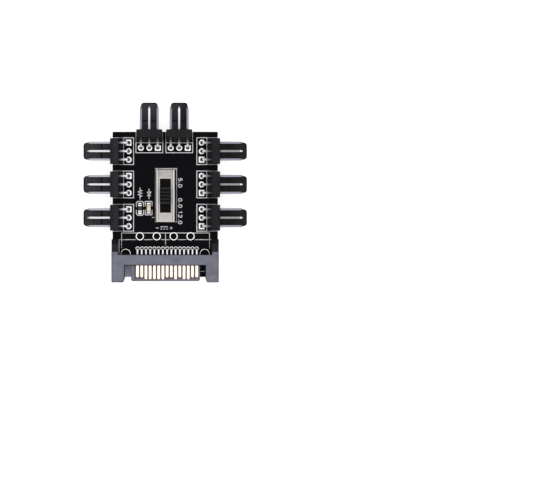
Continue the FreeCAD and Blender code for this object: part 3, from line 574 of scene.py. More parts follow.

# %% Colour of the tongues
# painted light and shade: a paler tongue on the left, a darker one on the right
LIT_TONGUE = (0.0520, 0.0495, 0.0560)
SHADED_TONGUE = (0.0150, 0.0140, 0.0155)
TONGUE_FADE = (2.0 * MM, 6.0 * MM)
# dark for a random mottle, for painted shade at edges and for the latch's painted shadow
SHADE_AND_MOTTLE_BLACK = (0.006, 0.006, 0.007)
LATCH_SHADOW_LINE = 8.12 * MM
LATCH_HALF = 0.18 * MM
LATCH_BLUR = 0.12 * MM


def tongue_color(material, axis, row):
    """The tongue, with painted light that makes it paler on the left, a dark mottle,
    and a painted shadow as a dark line across it at the latch step.
    """
    right = along_axis(material, "X", *TONGUE_FADE)
    tone = mixed(material, right, LIT_TONGUE, SHADED_TONGUE)
    cloud = noise(material, 0.6 * MM, stretch=(0.4, 1.0, 1.0))
    tongue = mixed(material, spread(material, cloud, 0.0, 0.5), tone, SHADE_AND_MOTTLE_BLACK)
    # painted shadow of the latch step
    start, end = row + LATCH_SHADOW_LINE - LATCH_HALF, row + LATCH_SHADOW_LINE + LATCH_HALF
    before = along_axis(material, axis, start - LATCH_BLUR, start, mirrored=True)
    beyond = along_axis(material, axis, end, end + LATCH_BLUR, mirrored=True)
    return mixed(material, beyond, mixed(material, before, tongue, SHADE_AND_MOTTLE_BLACK), tongue)


print("latch step in mm from the pad row:", round(LATCH_SHADOW_LINE / MM, 2))

# %% Header plastic
BLOCK_SHINE = (0.13, 0.13, 0.13)
COMB_SHINE = (0.03, 0.03, 0.03)
TONGUE_LEVEL = TOP + 1.9 * MM
SIDE_ROW = 11.0 * MM
TOP_ROW = 17.0 * MM


def header_finish(name, axis, row):
    """Black nylon: the tongue's colour below the block, and painted shade at every edge."""
    material = moulded(name, SHADED_BLACK, 0.42, 0.12 * MM, 0.3)
    comb, block = block_color(material, axis, row)
    above = along_axis(material, "Z", TONGUE_LEVEL, TONGUE_LEVEL + 0.05 * MM)
    color = mixed(material, above, tongue_color(material, axis, row), block)
    # painted shade: every edge and upright wall is darker
    rim = near_edge(material, 0.2 * MM)
    shade(material, "Base Color", mixed(material, rim, SHADE_AND_MOTTLE_BLACK, color))
    shine = mixed(material, comb, BLOCK_SHINE, COMB_SHINE)
    shade(material, "Specular IOR Level", mixed(material, above, BLOCK_SHINE, shine))
    return material


side_header_plastic = header_finish("side_header_plastic", "X", SIDE_ROW)
top_header_plastic = header_finish("top_header_plastic", "Y", TOP_ROW)

# %% [markdown]
# ## Plug plastic
#
# The plug is the same kind of plastic as the headers, but its flat top catches
# the lamp and reads as a cold grey, while its walls stay nearly black. Brighter
# lamps would lift the whole board with it, so that light and shade are painted:
# the finish tells level faces from the rest, and gives two small areas of the top
# their own painted shade and light.

# %% Areas of the plug
BLADE_AREA = (("X", -8.75 * MM, 9.95 * MM), ("Y", -22.3 * MM, -18.35 * MM))
NOTCH_AREA = (("X", -12.15 * MM, -10.25 * MM), ("Y", -22.0 * MM, -18.35 * MM))
AREA_BLUR = 0.02 * MM
NEARLY_LEVEL = 0.975


def level_only(material):
    """1 on level faces and 0 on all that slopes by more than about 12 degrees."""
    return remap(material, looking_up(material), NEARLY_LEVEL, 1.0)


def within(material, area):
    """1 inside an area of ranges (axis, low, high) and 0 outside it: the product of
    a rise at each low end and a fall at each high end."""
    share = 1.0
    for axis, low, high in area:
        for start, end in ((low, low + AREA_BLUR), (high, high - AREA_BLUR)):
            step = along_axis(material, axis, start, end)
            share = math_of(material, "MULTIPLY", share, step)
    return share


print("blade in mm:", [(axis, round((high - low) / MM, 2)) for axis, low, high in BLADE_AREA])

# %% Plug plastic
PLUG_LIT = (0.185, 0.185, 0.24)
PLUG_SHADED = (0.014, 0.014, 0.018)
BLADE_SHADE = (0.130, 0.088, 0.076)
PALE_GAIN, DEEP_GAIN, NOTCH_GAIN = 1.12, 0.84, 2.9
PLUG_MOTTLE = 0.08


def plug_top(material, cloud):
    """Painted light: cold grey with a broad mottle, and painted shade between the
    contacts, where the gold keeps the lamp off. The floor of the left notch lies
    deep between walls and is given back, as painted light, the light it loses there."""
    pale, deep = (
        mottled(material, cloud, PLUG_LIT, gain - PLUG_MOTTLE, gain + PLUG_MOTTLE)
        for gain in (PALE_GAIN, DEEP_GAIN)
    )
    broad = noise(material, 2.2 * MM, stretch=(0.6, 1.0, 1.0))
    top = mixed(material, spread(material, broad, 0.0, 1.0), pale, deep)
    top = mixed(material, within(material, BLADE_AREA), top, BLADE_SHADE)
    return mixed(material, within(material, NOTCH_AREA), top, tint(PLUG_LIT, NOTCH_GAIN))


plug_plastic = finish("plug_plastic", PLUG_LIT, roughness=0.5, specular=0.2)
cloud = noise(plug_plastic, 0.5 * MM)
top_color = plug_top(plug_plastic, cloud)
# painted light on the level top, painted shade on the walls
color = mixed(plug_plastic, level_only(plug_plastic), PLUG_SHADED, top_color)
shade(plug_plastic, "Base Color", color)
shade(plug_plastic, "Roughness", spread(plug_plastic, cloud, 0.42, 0.56))
fine_grain(plug_plastic, 0.15 * MM, depth=0.01 * MM, strength=0.5, edge=0.08 * MM)

# %% [markdown]
# ## Header pins
#
# A pin is tinned from end to end, but behind the block the comb keeps light off
# it, and beyond the block the middle pin of three is the bright one. Lamps could
# be placed for that, but they would change every other piece. So that light and
# shade are painted: the finish fades with the distance from the pad row, and
# knows the middle pins by where they are.

# %% Middle pins
MIDDLE_PIN_REACH = 1.2 * MM


def box_middle(node):
    """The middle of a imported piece's box."""
    low, high = box_of(node)
    return (low + high) / 2.0


def middle_pins(material, across, headers):
    """1 on the middle pins of a row of headers and 0 on their outer pins. The
    distance to the nearest header's middle is half a pitch less a zigzag of it."""
    first, second = headers
    half_pitch = abs(first - second) / 2.0
    place = part_of(material, object_point(material), across)
    shifted = math_of(material, "SUBTRACT", place, (first + second) / 2.0)
    zigzag = math_of(material, "PINGPONG", shifted, half_pitch)
    return math_of(material, "GREATER_THAN", zigzag, half_pitch - MIDDLE_PIN_REACH)


side_headers = [box_middle(f"fan_header_{number}_pins")[1] for number in (1, 2)]
top_headers = [box_middle(f"fan_header_{number}_pins")[0] for number in (4, 5)]
print("side headers in mm:", np.round(np.array(side_headers) / MM, 2))
print("top headers in mm:", np.round(np.array(top_headers) / MM, 2))

# %% Brightness of the pins
# painted light and shade of the pins: brighter or duller tin by place
OUTER_TIN = (0.41, 0.40, 0.46)
SHADED_OUTER_TIN = (0.27, 0.27, 0.33)
RIGHT_TIN = (0.26, 0.255, 0.265)
RIGHT_PINS_START = 9.0 * MM
TIP_START = 22.45 * MM
PIN_END = 11.4 * MM
LIT_FADE = ((0.0, 0.95), (0.26, 0.75), (0.38, 0.35), (0.52, 0.06))
SHADED_FADE = ((0.0, 0.95), (0.18, 0.55), (0.30, 0.22), (0.45, 0.06))


def pin_outside(material, axis, row, across, headers, tins):
    """The pins beyond the block: the middle one bright, on the right only at its tip."""
    right = along_axis(material, "X", RIGHT_PINS_START, RIGHT_PINS_START + 0.5 * MM)
    tip = along_axis(material, "X", TIP_START, TIP_START + 0.1 * MM)
    outwards = along_axis(material, axis, row + BLOCK_FACE, row + PIN_END, mirrored=True)
    lit = mixed(material, outwards, *tins)
    middle = mixed(material, right, lit, mixed(material, tip, RIGHT_TIN, TIN))
    outer = mixed(material, right_of_left_headers(material), OUTER_TIN, SHADED_OUTER_TIN)
    return mixed(material, middle_pins(material, across, headers), outer, middle)


def pin_inside(material, axis, row):
    """The bent ends, which lose their light from the pad row to the comb."""
    fade = along_axis(material, axis, row, row + BLOCK_FACE, mirrored=True)
    lit, shaded = (
        ramp(material, fade, [(place, tint(TIN, share)) for place, share in stops])
        for stops in (LIT_FADE, SHADED_FADE)
    )
    return mixed(material, right_of_left_headers(material), lit, shaded)


print("pin ends in mm from the pad row:", round(PIN_END / MM, 2))

# %% Pin metal
PIN_EDGE_SHADE = (0.13, 0.13, 0.16)
LEFT_TIN = (0.64, 0.64, 0.67)
TOP_TIN_NEAR = (0.44, 0.44, 0.47)
TOP_TIN_TIP = (0.78, 0.78, 0.81)


def pin_finish(name, axis, row, across, headers, tins):
    """Tin that is painted bright beyond the block and painted dull where the comb keeps
    light off, with painted shade at its edges.
    """
    material = plated(name, TIN, 0.25, 0.25 * MM, 0.12)
    face = row + BLOCK_FACE
    beyond = along_axis(material, axis, face - BLOCK_FACE * 0.03, face, mirrored=True)
    outside = pin_outside(material, axis, row, across, headers, tins)
    color = mixed(material, beyond, pin_inside(material, axis, row), outside)
    # painted shade at the pins' edges
    rim = near_edge(material, 0.16 * MM)
    shade(material, "Base Color", mixed(material, rim, PIN_EDGE_SHADE, color))
    return material


side_pin_metal = pin_finish(
    "side_pin_metal", "X", SIDE_ROW, "Y", side_headers, (LEFT_TIN, LEFT_TIN),
)
top_pin_metal = pin_finish(
    "top_pin_metal", "Y", TOP_ROW, "X", top_headers, (TOP_TIN_NEAR, TOP_TIN_TIP),
)

# %% [markdown]
# ## Plug contacts
#
# The contacts are stamped strips with gold on them. Under a bright tent the flat
# of each burns out to white, and only its rims keep their colour. A stronger gold
# would tint the flats as well, so the flats are painted near white, a painted
# glare, and the gold colour sits near the edges alone. Behind the plug's bar the
# tails are tinned, with painted shade along their rims.

# %% Contact metal
GLARE_WHITE_GOLD = (1.0, 0.96, 0.88)
GOLD_EDGE = (0.64, 0.40, 0.035)
TAIL_TIN = (0.74, 0.74, 0.74)
TAIL_EDGE_SHADE = (0.07, 0.07, 0.08)
BAR_BACK = -15.05 * MM

contact_metal = plated(
    "contact_metal", GLARE_WHITE_GOLD, 0.2, 0.3 * MM, 0.05, stretch=(1.0, 0.2, 1.0), relief=0.1,
)
# painted glare on the gold flats, painted shade on the tails' rims
rim = near_edge(contact_metal, 0.20 * MM)
behind = along_axis(contact_metal, "Y", BAR_BACK - 0.1 * MM, BAR_BACK)
gold, tail = (
    mixed(contact_metal, rim, edge, flat)
    for edge, flat in ((GOLD_EDGE, GLARE_WHITE_GOLD), (TAIL_EDGE_SHADE, TAIL_TIN))
)
shade(contact_metal, "Base Color", mixed(contact_metal, behind, gold, tail))

# %% [markdown]
# ## Switch case
#
# The case is folded from tin-plated sheet, dull and speckled by its plating bath.
# Each fold has a painted highlight along its rim with painted shade in the crease
# beside it. The rim and crease could be modelled, but they are only a few
# hundredths of a millimetre high, so the finish draws their highlight and shade
# by their distance from the middle of the case.

# %% Folds of the case
SHEET = (0.47, 0.45, 0.44)
SHEET_HIGHLIGHT = (0.74, 0.71, 0.69)
SHEET_CREASE_SHADE = (0.20, 0.16, 0.155)
CREASE_REACH = 0.80 * MM
RIM_REACH = 0.60 * MM
END_RIM = 0.50 * MM
case_low, case_high = box_of("switch_case")


def folded(material, color):
    """The colour with painted shade in a crease and then a painted highlight on a rim
    beyond it on both long sides, and a painted highlight on a rim at the near end. A
    fold starts where the distance from the case's middle is its half width less the
    fold's reach."""
    middle, half = (case_low[0] + case_high[0]) / 2.0, (case_high[0] - case_low[0]) / 2.0
    place = part_of(material, object_point(material), "X")
    distance = math_of(material, "ABSOLUTE", math_of(material, "SUBTRACT", place, middle))
    # painted shade in the crease, then a painted highlight on the rim
    for reach, shine in ((CREASE_REACH, SHEET_CREASE_SHADE), (RIM_REACH, SHEET_HIGHLIGHT)):
        start = half - reach
        color = mixed(material, remap(material, distance, start, start + 0.06 * MM), color, shine)
    rim = case_low[1] + END_RIM
    return mixed(material, along_axis(material, "Y", rim, rim - 0.08 * MM), color, SHEET_HIGHLIGHT)


print("case in mm:", np.round((case_high - case_low) / MM, 2))

# %% Sheet metal
SHEET_DARK = (0.17, 0.155, 0.15)
SPECKS_START, SPECKS_END = 3.0 * MM, 2.0 * MM

switch_sheet = plated("switch_sheet", SHEET, 0.34, 0.2 * MM, 0.3)
grain = noise(switch_sheet, 0.14 * MM, detail=5.0)
calm, speckled = (
    ramp(switch_sheet, grain, [(dark, SHEET_DARK), (plain, SHEET), (pale, tint(SHEET, gain))])
    for dark, plain, pale, gain in ((0.34, 0.42, 0.7, 1.15), (0.42, 0.50, 0.62, 1.2))
)
far_end = along_axis(
    switch_sheet, "Y", case_high[1] - SPECKS_START, case_high[1] - SPECKS_END,
)
color = folded(switch_sheet, mixed(switch_sheet, far_end, calm, speckled))
shade(switch_sheet, "Base Color", color)

# %% [markdown]
# ## Lens of the status light
#
# The lens is cast resin over a phosphor, cream at one half and warmer at the
# other, where the phosphor lies thick, with painted shade at its rim and sides.
# Real resin scatters light inside, which costs much time on so small a piece, so
# a shiny coloured surface stands for it.

# %% Lens resin
LENS_CREAM = (1.0, 0.94, 0.72)
LENS_PEACH = (1.0, 0.80, 0.50)
LENS_EDGE_SHADE = (0.34, 0.33, 0.26)
LENS_SHINE = 0.8

lens_resin = matt("lens_resin", LENS_CREAM, 0.25, 0.5 * MM, 0.1, 0.004 * MM)
shade(lens_resin, "Specular IOR Level", LENS_SHINE)
lens_middle = box_middle("status_led_lens")[1]
warm = along_axis(lens_resin, "Y", lens_middle - 0.3 * MM, lens_middle + 0.5 * MM)
cloud = spread(lens_resin, noise(lens_resin, 0.3 * MM, stretch=(1.0, 0.4, 1.0)), 0.0, 1.0)
cream = mixed(lens_resin, cloud, tint(LENS_CREAM, 0.9), LENS_CREAM)
peach = mixed(lens_resin, cloud, tint(LENS_PEACH, 0.85), LENS_PEACH)
resin = mixed(lens_resin, warm, cream, peach)
# painted shade at the lens's rim and sides
rim = near_edge(lens_resin, 0.24 * MM)
shade(lens_resin, "Base Color", mixed(lens_resin, rim, LENS_EDGE_SHADE, resin))
print("lens's middle in mm:", round(lens_middle / MM, 2))

# %% [markdown]
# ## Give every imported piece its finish
#
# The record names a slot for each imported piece. Finishes could be given one by
# one, but a table from slot to finish covers them all. Only the header parts
# differ by place: the two headers at the far end face another way.

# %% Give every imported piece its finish
TOP_HEADERS = ("fan_header_4_", "fan_header_5_")
FINISHES = {
    "liner": liner,
    "foam": foam,
    "board": board_mask,
    "header_plastic": side_header_plastic,
    "tinned_metal": tinned_metal,
    "plug_plastic": plug_plastic,
    "contact_metal": contact_metal,
    "switch_sheet": switch_sheet,
    "switch_insulator": insulator,
    "terminal_metal": terminal_metal,
    "knob_plastic": knob_plastic,
    "led_carrier": carrier,
    "led_lens": lens_resin,
    "resistor_body": chip_black,
}


def finish_of(node, slot):
    """The slot's finish, or the header finish for the side that the piece is on."""
    top = node.startswith(TOP_HEADERS)
    if node.endswith("_pins"):
        return top_pin_metal if top else side_pin_metal
    return top_header_plastic if top else FINISHES[slot]


for subpart in frame["record"]["subparts"]:
    mesh = nodes[subpart["node"]].data
    mesh.materials.clear()
    mesh.materials.append(finish_of(subpart["node"], subpart["material_slot"]))

# %% [markdown]
# ## Where the headers stand
#
# Rings and ink lines belong to the headers, so they could be placed by hand, but
# the frame tells where each header's pins are. The row of pads lies under the
# bent ends of the pins, half a pin inside the edge of their box that is nearest
# to the middle of the board. Each header faces outwards, and its first pad, the
# square one, is at the right-hand end of the row as seen from inside.

# %% Header layout
PIN_SIDE = 0.64 * MM
PIN_PITCH = 2.54 * MM


def header_layout(number):
    """The middle pad, the direction outwards, and the direction to the square pad,
    which is a quarter turn from it."""
    low, high = box_of(f"fan_header_{number}_pins")
    x, y = (low + high)[:2] / 2.0
    if y > board_high[1]:
        pad, out = (x, low[1] + PIN_SIDE / 2), (0.0, 1.0)
    elif x < 0.0:
        pad, out = (high[0] - PIN_SIDE / 2, y), (-1.0, 0.0)
    else:
        pad, out = (low[0] + PIN_SIDE / 2, y), (1.0, 0.0)
    return np.array([pad, out, (out[1], -out[0])])


layouts = [header_layout(number) for number in range(1, 9)]
print("first header's middle pad in mm:", np.round(layouts[0][0] / MM, 2))

# %% [markdown]
# ## Plated rings
#
# Every hole for a pin has a tinned ring round it, which stands a few hundredths
# of a millimetre over the mask. A ring could be a cylinder with a hole cut into
# it, but its section turned about an upright axis gives rounded rims and clean
# quads. The same turn makes a square ring when the outer radius grows towards the
# corners. The plug's fifteen tails share one crowded row, and six spare holes
# have wider rings.

# %% A turned ring
PAD_HEIGHT = 0.05 * MM
PAD_DROP = PAD_HEIGHT * 0.48
ROUND_CORNER = 1.30


def grid_faces(rows, columns):
    """Quads between neighbouring points of a grid that closes both ways, wound so
    that they face outwards."""
    here = np.arange(rows * columns).reshape(rows, columns)
    ahead = np.roll(here, -1, axis=0)
    corners = (np.roll(here, -1, axis=1), np.roll(ahead, -1, axis=1), ahead, here)
    return np.stack(corners, axis=-1).reshape(-1, 4)


def over_board(ground, height):
    """Points from places (x, y) on the board and their heights over it."""
    height = np.broadcast_to(TOP + height, ground.shape[:2])
    return np.concatenate([ground, height[:, :, None]], axis=2).reshape(-1, 3)


def pad_ring(centre, inner, outer, steps=40, squareness=0.0):
    """A plated ring, as points, quads and end faces. Its section is level on top and
    rounded down at both rims, and is turned: x = radius times cosine, y = radius
    times sine. With squareness 1 the outer radius follows a square with small round
    corners: it is divided by the larger of |cosine| and |sine|."""
    low = PAD_HEIGHT - PAD_DROP
    radius = np.array([inner, outer, outer, outer - PAD_DROP, inner + PAD_DROP, inner])
    height = np.array([0.0, 0.0, low, PAD_HEIGHT, PAD_HEIGHT, low])
    angle = np.linspace(0.0, 2.0 * np.pi, steps, endpoint=False)
    circle = np.stack([np.cos(angle), np.sin(angle)], axis=1)
    reach = np.minimum(1.0 / np.abs(circle).max(axis=1), ROUND_CORNER)
    share = (radius - inner) / (outer - inner)
    radius = radius[:, None] * (1.0 + squareness * share[:, None] * (reach - 1.0))
    quads = grid_faces(*radius.shape)
    points = over_board(centre + radius[:, :, None] * circle, height[:, None])
    return points, quads, quads[:0]


print("faces of one ring:", len(pad_ring((0.0, 0.0), 0.5 * MM, 1.0 * MM)[1]))

# %% Rings of the headers
PAD_OUTER = 0.95 * MM
PAD_INNER = 0.36 * MM


def joined(shapes):
    """Several shapes as one. The faces of each are raised by the number of points
    that come before it."""
    points, quads, ends = zip(*shapes)
    starts = np.cumsum([0] + [len(part) for part in points])
    quads, ends = (
        np.concatenate([faces + start for faces, start in zip(parts, starts)])
        for parts in (quads, ends)
    )
    return np.concatenate(points), quads, ends


def new_piece(name, shape, body, material):
    """A mesh piece from a shape, riding on one of the hub's bodies."""
    points, quads, ends = shape
    mesh = bpy.data.meshes.new(name)
    mesh.from_pydata(points.tolist(), [], quads.tolist() + ends.tolist())
    mesh.validate()
    mesh.materials.append(material)
    mesh.polygons.foreach_set("use_smooth", [True] * len(mesh.polygons))
    piece = new_object(name, mesh)
    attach(piece, body)
    print(name, "faces:", len(mesh.polygons))


header_pads = joined([
    pad_ring(middle + along * step * PIN_PITCH, PAD_INNER, PAD_OUTER, squareness=float(step == 1))
    for middle, _, along in layouts for step in (-1, 0, 1)
])
new_piece("header_pads", header_pads, "hub", bright_tin)

# %% Rings of the plug's tails
TAIL_PAD_OUTER = 0.6 * MM
TAIL_PAD_INNER = 0.33 * MM
TAIL_THICK = 0.25 * MM


def tail_place(number):
    """Where one contact's tail goes into the board."""
    low, high = box_of(f"power_contact_{number}")
    return (low[0] + high[0]) / 2.0, high[1] - TAIL_THICK / 2.0


tail_pads = joined([
    pad_ring(tail_place(number), TAIL_PAD_INNER, TAIL_PAD_OUTER, steps=28)
    for number in range(1, 16)
])
new_piece("tail_pads", tail_pads, "hub", bright_tin)

# %% Rings of the spare holes
SPARE_COLUMNS = np.array([-1.5, -0.5, 0.5, 1.5]) * 5.08 * MM
SPARE_ROW = -9.6 * MM
SPARE_INNER, SPARE_OUTER = 0.93 * MM, 1.24 * MM
PEG_REACH = 11.87 * MM
PEG_ROW = -14.9 * MM
PEG_INNER, PEG_OUTER = 1.3 * MM, 1.53 * MM

spare_rings = [pad_ring((x, SPARE_ROW), SPARE_INNER, SPARE_OUTER) for x in SPARE_COLUMNS]
spare_rings += [pad_ring((x, PEG_ROW), PEG_INNER, PEG_OUTER) for x in (-PEG_REACH, PEG_REACH)]
new_piece("spare_rings", joined(spare_rings), "hub", bright_tin)

# %% [markdown]
# ## Printed lines
#
# White ink marks each part's place. A header has a frame round it, with a line
# across where its block ends. The plug's place has two long frames that share a
# middle line, and the switch has a plain outline with a short tick at its corner.
# Lines could be bevelled curves or a painted picture. A low section carried along
# a path gives real, thin ink with sharp corners, from one function.

# %% A printed line
INK_HEIGHT = 0.02 * MM
INK_SECTION = np.array([(-1, 0), (1, 0), (1, 0.6), (0.7, 1), (-0.7, 1), (-1, 0.6)])
SHARPEST = 0.4


def end_faces(rows, columns):
    """Faces over the first and the last row of a grid that is closed round a path."""
    first = np.arange(columns)
    return np.array([first[::-1], first + (rows - 1) * columns])


def directions(steps):
    """Steps in the plane, each made one unit long."""
    return steps / np.linalg.norm(steps, axis=1, keepdims=True)


def ribbon(path, width, closed=False):
    """A printed line: a low rounded section carried along a path on the board.
    Each path point moves sideways along the normal there, by the section's own
    offset; at a corner the offset is divided by the cosine of half the turn."""
    path = np.array(path, float)
    if closed:
        ahead = directions(np.roll(path, -1, axis=0) - path)
        behind = np.roll(ahead, 1, axis=0)
    else:
        legs = directions(np.diff(path, axis=0))
        ahead, behind = np.vstack([legs, legs[-1:]]), np.vstack([legs[:1], legs])
    tangent = directions(ahead + behind)
    normal = np.stack([-tangent[:, 1], tangent[:, 0]], axis=1)
    stretch = 1.0 / np.maximum(np.sum(tangent * ahead, axis=1), SHARPEST)
    offset = INK_SECTION[:, 0] * width / 2.0 * stretch[:, None]
    ground = path[:, None, :] + normal[:, None, :] * offset[:, :, None]
    points = over_board(ground, INK_SECTION[:, 1] * INK_HEIGHT)
    quads, ends = grid_faces(*offset.shape), end_faces(*offset.shape)
    if closed:
        return points, quads, ends[:0]
    return points, quads[:-len(INK_SECTION)], ends


print("faces of a straight line:", sum(map(len, ribbon([(0, 0), (MM, 0)], MM)[1:])))

# %% Frames round the headers
LINE = 0.26 * MM
THIN_LINE = 0.13 * MM
FRAME_HALF = 4.03 * MM
FRAME_NEAR, FRAME_FAR = 1.5 * MM, -1.5 * MM
FRAME_EDGE = 4.65 * MM

header_frames = []
for middle, out, along in layouts:
    for far, half, width, closed in (
        (FRAME_FAR, FRAME_HALF, LINE, True), (FRAME_EDGE, -FRAME_HALF, THIN_LINE, False),
    ):
        # a corner is given in steps outwards and along the header's row
        corners = np.array([(FRAME_NEAR, half), (far, half), (far, -half), (FRAME_NEAR, -half)])
        header_frames.append(ribbon(middle + corners @ np.array([out, along]), width, closed))
new_piece("header_frame_lines", joined(header_frames), "hub", ink)

# %% Frames of the plug's place
PLUG_LINE = 0.2 * MM
RING_CLEARANCE = 1.22
CROSS_ROW, CROSS_END = -10.6, 13.9
PLUG_LINES = (
    ((-13.1, -13.3), (-13.1, -8.6), (13.3, -8.6), (13.3, -13.3)),
    ((-13.85, -10.7), (-13.85, -15.1)),
    ((0.1, -8.7), (0.1, -12.5)),
    ((10.6, -20.1), (11.95, -20.1)),
)


def line(points, width=LINE):
    """A printed line through points given in millimetres."""
    return ribbon(np.array(points) * MM, width)


# the long cross line is left out where the spare rings cross it
gaps = [(x - RING_CLEARANCE, x + RING_CLEARANCE) for x in SPARE_COLUMNS / MM]
cross_lines = np.array([-CROSS_END, *np.ravel(gaps), CROSS_END]).reshape(-1, 2)
plug_frames = [
    line(((start, CROSS_ROW), (end, CROSS_ROW)), PLUG_LINE) for start, end in cross_lines
]
plug_frames += [line(points, PLUG_LINE) for points in PLUG_LINES]
new_piece("plug_frame_lines", joined(plug_frames), "hub", ink)

# %% Outline of the switch
# start, end and width of each side, in millimetres, and last the tick
SWITCH_LINES = (
    ((-3.0, 10.7), (3.53, 10.7), 0.36),
    ((3.44, 10.5), (3.44, 5.5), 0.18),
    ((3.44, 5.5), (3.44, -5.18), 0.1),
    ((3.5, -5.26), (-3.0, -5.26), 0.15),
    ((-3.0, -5.18), (-3.0, 10.5), 0.07),
    ((-3.95, -3.95), (-3.05, -3.95), 0.18),
)

switch_frame = joined([line((start, end), width * MM) for start, end, width in SWITCH_LINES])
new_piece("switch_frame_lines", switch_frame, "hub", ink)

# %% Brackets round the chip parts
# middle x and y, half width, half length, half gap and cut corner, in millimetres
CHIP_BRACKETS = (
    (-4.97, -1.13, 1.02, 2.0, 0.5, 0.08),
    (-7.58, -1.21, 1.06, 2.08, 0.45, 0.38),
)

chip_brackets = []
for x, y, half_x, half_y, gap, cut in CHIP_BRACKETS:
    right = np.array([(half_x, gap), (half_x, half_y - cut), (half_x - cut, half_y)])
    bracket = np.concatenate([right * (-1, 1), right[::-1]])
    chip_brackets += [line(bracket * (1, side) + (x, y)) for side in (-1, 1)]
new_piece("chip_bracket_lines", joined(chip_brackets), "hub", ink)

# %% [markdown]
# ## Printed signs
#
# White ink also marks the three switch positions and the chip parts. Plain
# numbers and common circuit signs do it here: a diode, a resistor and direct
# current. A text object would bring a font's outlines, while board printing is
# drawn with one round pen. So each sign is made of the same printed line, from
# strokes in a cell one unit high.

# %% Strokes of the numbers
GLYPH_WIDTH = 0.62
POINT_WIDTH = 0.3
GLYPH_GAP = 0.2
NUMBER_STRETCH = (1.25, 1.0)


def bow(centre, radii, start, end, steps=14):
    """Points on an ellipse between two angles in degrees: the centre plus the radii
    times cosine and sine."""
    angle = np.radians(np.linspace(start, end, steps))
    return np.array(centre) + np.array(radii) * np.stack([np.cos(angle), np.sin(angle)], axis=1)


GLYPHS = {
    "0": [np.vstack([bow((0.31, 0.5), (0.29, 0.46), 0.0, 345.0, 24), (0.6, 0.5)])],
    "1": [[(0.12, 0.78), (0.34, 0.96), (0.34, 0.04)]],
    "2": [np.vstack([bow((0.31, 0.7), (0.27, 0.26), 160.0, -35.0), (0.05, 0.04), (0.6, 0.04)])],
    "5": [np.vstack([
        (0.56, 0.96), (0.12, 0.96), (0.08, 0.55), bow((0.3, 0.33), (0.28, 0.28), 110.0, -145.0),
    ])],
    ".": [[(0.15, 0.0), (0.15, 0.2)]],
}


def number_strokes(digits):
    """The strokes of a number, cell beside cell; a point takes a narrow cell."""
    strokes, left = [], 0.0
    for digit in digits:
        strokes += [(np.array(stroke) + (left, 0.0)) * NUMBER_STRETCH for stroke in GLYPHS[digit]]
        left += (POINT_WIDTH if digit == "." else GLYPH_WIDTH) + GLYPH_GAP
    return strokes


print("strokes of 12.0:", len(number_strokes("12.0")))

# %% Numbers beside the switch
SWITCH_NUMBERS = (("5.0", 6.45), ("0.0", 0.42), ("12.0", -3.98))
NUMBERS_COLUMN = 4.48
NUMBER_HEIGHT = 1.14
SIGN_LINE = 0.25 * MM


def sign(strokes, centre, height, turn):
    """Strokes in cell units, taken from their middle, scaled to a height, turned by
    degrees and put on a centre in millimetres. A turned point is
    (x cosine - y sine, x sine + y cosine)."""
    strokes = [np.array(stroke, float) for stroke in strokes]
    every = np.concatenate(strokes)
    middle = (every.max(axis=0) + every.min(axis=0)) / 2.0
    cosine, sine = math.cos(math.radians(turn)), math.sin(math.radians(turn))
    spin = np.array([[cosine, sine], [-sine, cosine]])
    paths = [np.array(centre) + (stroke - middle) * height @ spin for stroke in strokes]
    return joined([line(path, SIGN_LINE) for path in paths])


numbers = [
    sign(number_strokes(digits), (NUMBERS_COLUMN, y), NUMBER_HEIGHT, -90.0)
    for digits, y in SWITCH_NUMBERS
]
new_piece("switch_numbers", joined(numbers), "hub", ink)

# %% Circuit signs
SIGN_HEIGHT = 1.35
DIODE = [
    [(0.0, 0.5), (0.75, 0.5)], [(0.75, 0.08), (0.75, 0.92), (1.45, 0.5), (0.8, 0.11)],
    [(1.55, 0.05), (1.55, 0.95)], [(1.55, 0.5), (2.3, 0.5)],
]
RESISTOR = [[
    (0.0, 0.5), (0.5, 0.5), (0.65, 0.92), (0.95, 0.08), (1.25, 0.92),
    (1.55, 0.08), (1.85, 0.92), (2.0, 0.5), (2.6, 0.5),
]]
DIRECT_CURRENT = [
    [(0.0, 0.5), (0.6, 0.5)], [(1.0, 0.78), (2.7, 0.78)], [(1.0, 0.26), (1.38, 0.26)],
    [(1.66, 0.26), (2.04, 0.26)], [(2.32, 0.26), (2.7, 0.26)], [(3.1, 0.5), (3.7, 0.5)],
    [(3.4, 0.18), (3.4, 0.82)],
]

signs = [
    sign(DIODE, (-4.86, 3.15), SIGN_HEIGHT, -90.0),
    sign(RESISTOR, (-7.57, 3.25), SIGN_HEIGHT, -90.0),
    sign(DIRECT_CURRENT, (-0.3, -7.1), SIGN_HEIGHT, 0.0),
]
new_piece("circuit_signs", joined(signs), "hub", ink)

# %% [markdown]
# ## Solder of the chip parts
#
# The chip light and the resistor sit on two solder lands each, and each end of
# their bodies is capped with tin that the solder climbs. Boxes with a Bevel
# modifier would do for the caps, but solder has no flat sides. A cap or a land is
# a rounded outline that shrinks from its foot to its top.

# %% A block of solder
LEVELS = np.array([0.0, 0.35, 0.85, 1.0, 1.0])
INSETS = np.array([0.0, 0.0, 0.0, 0.5, 1.0])


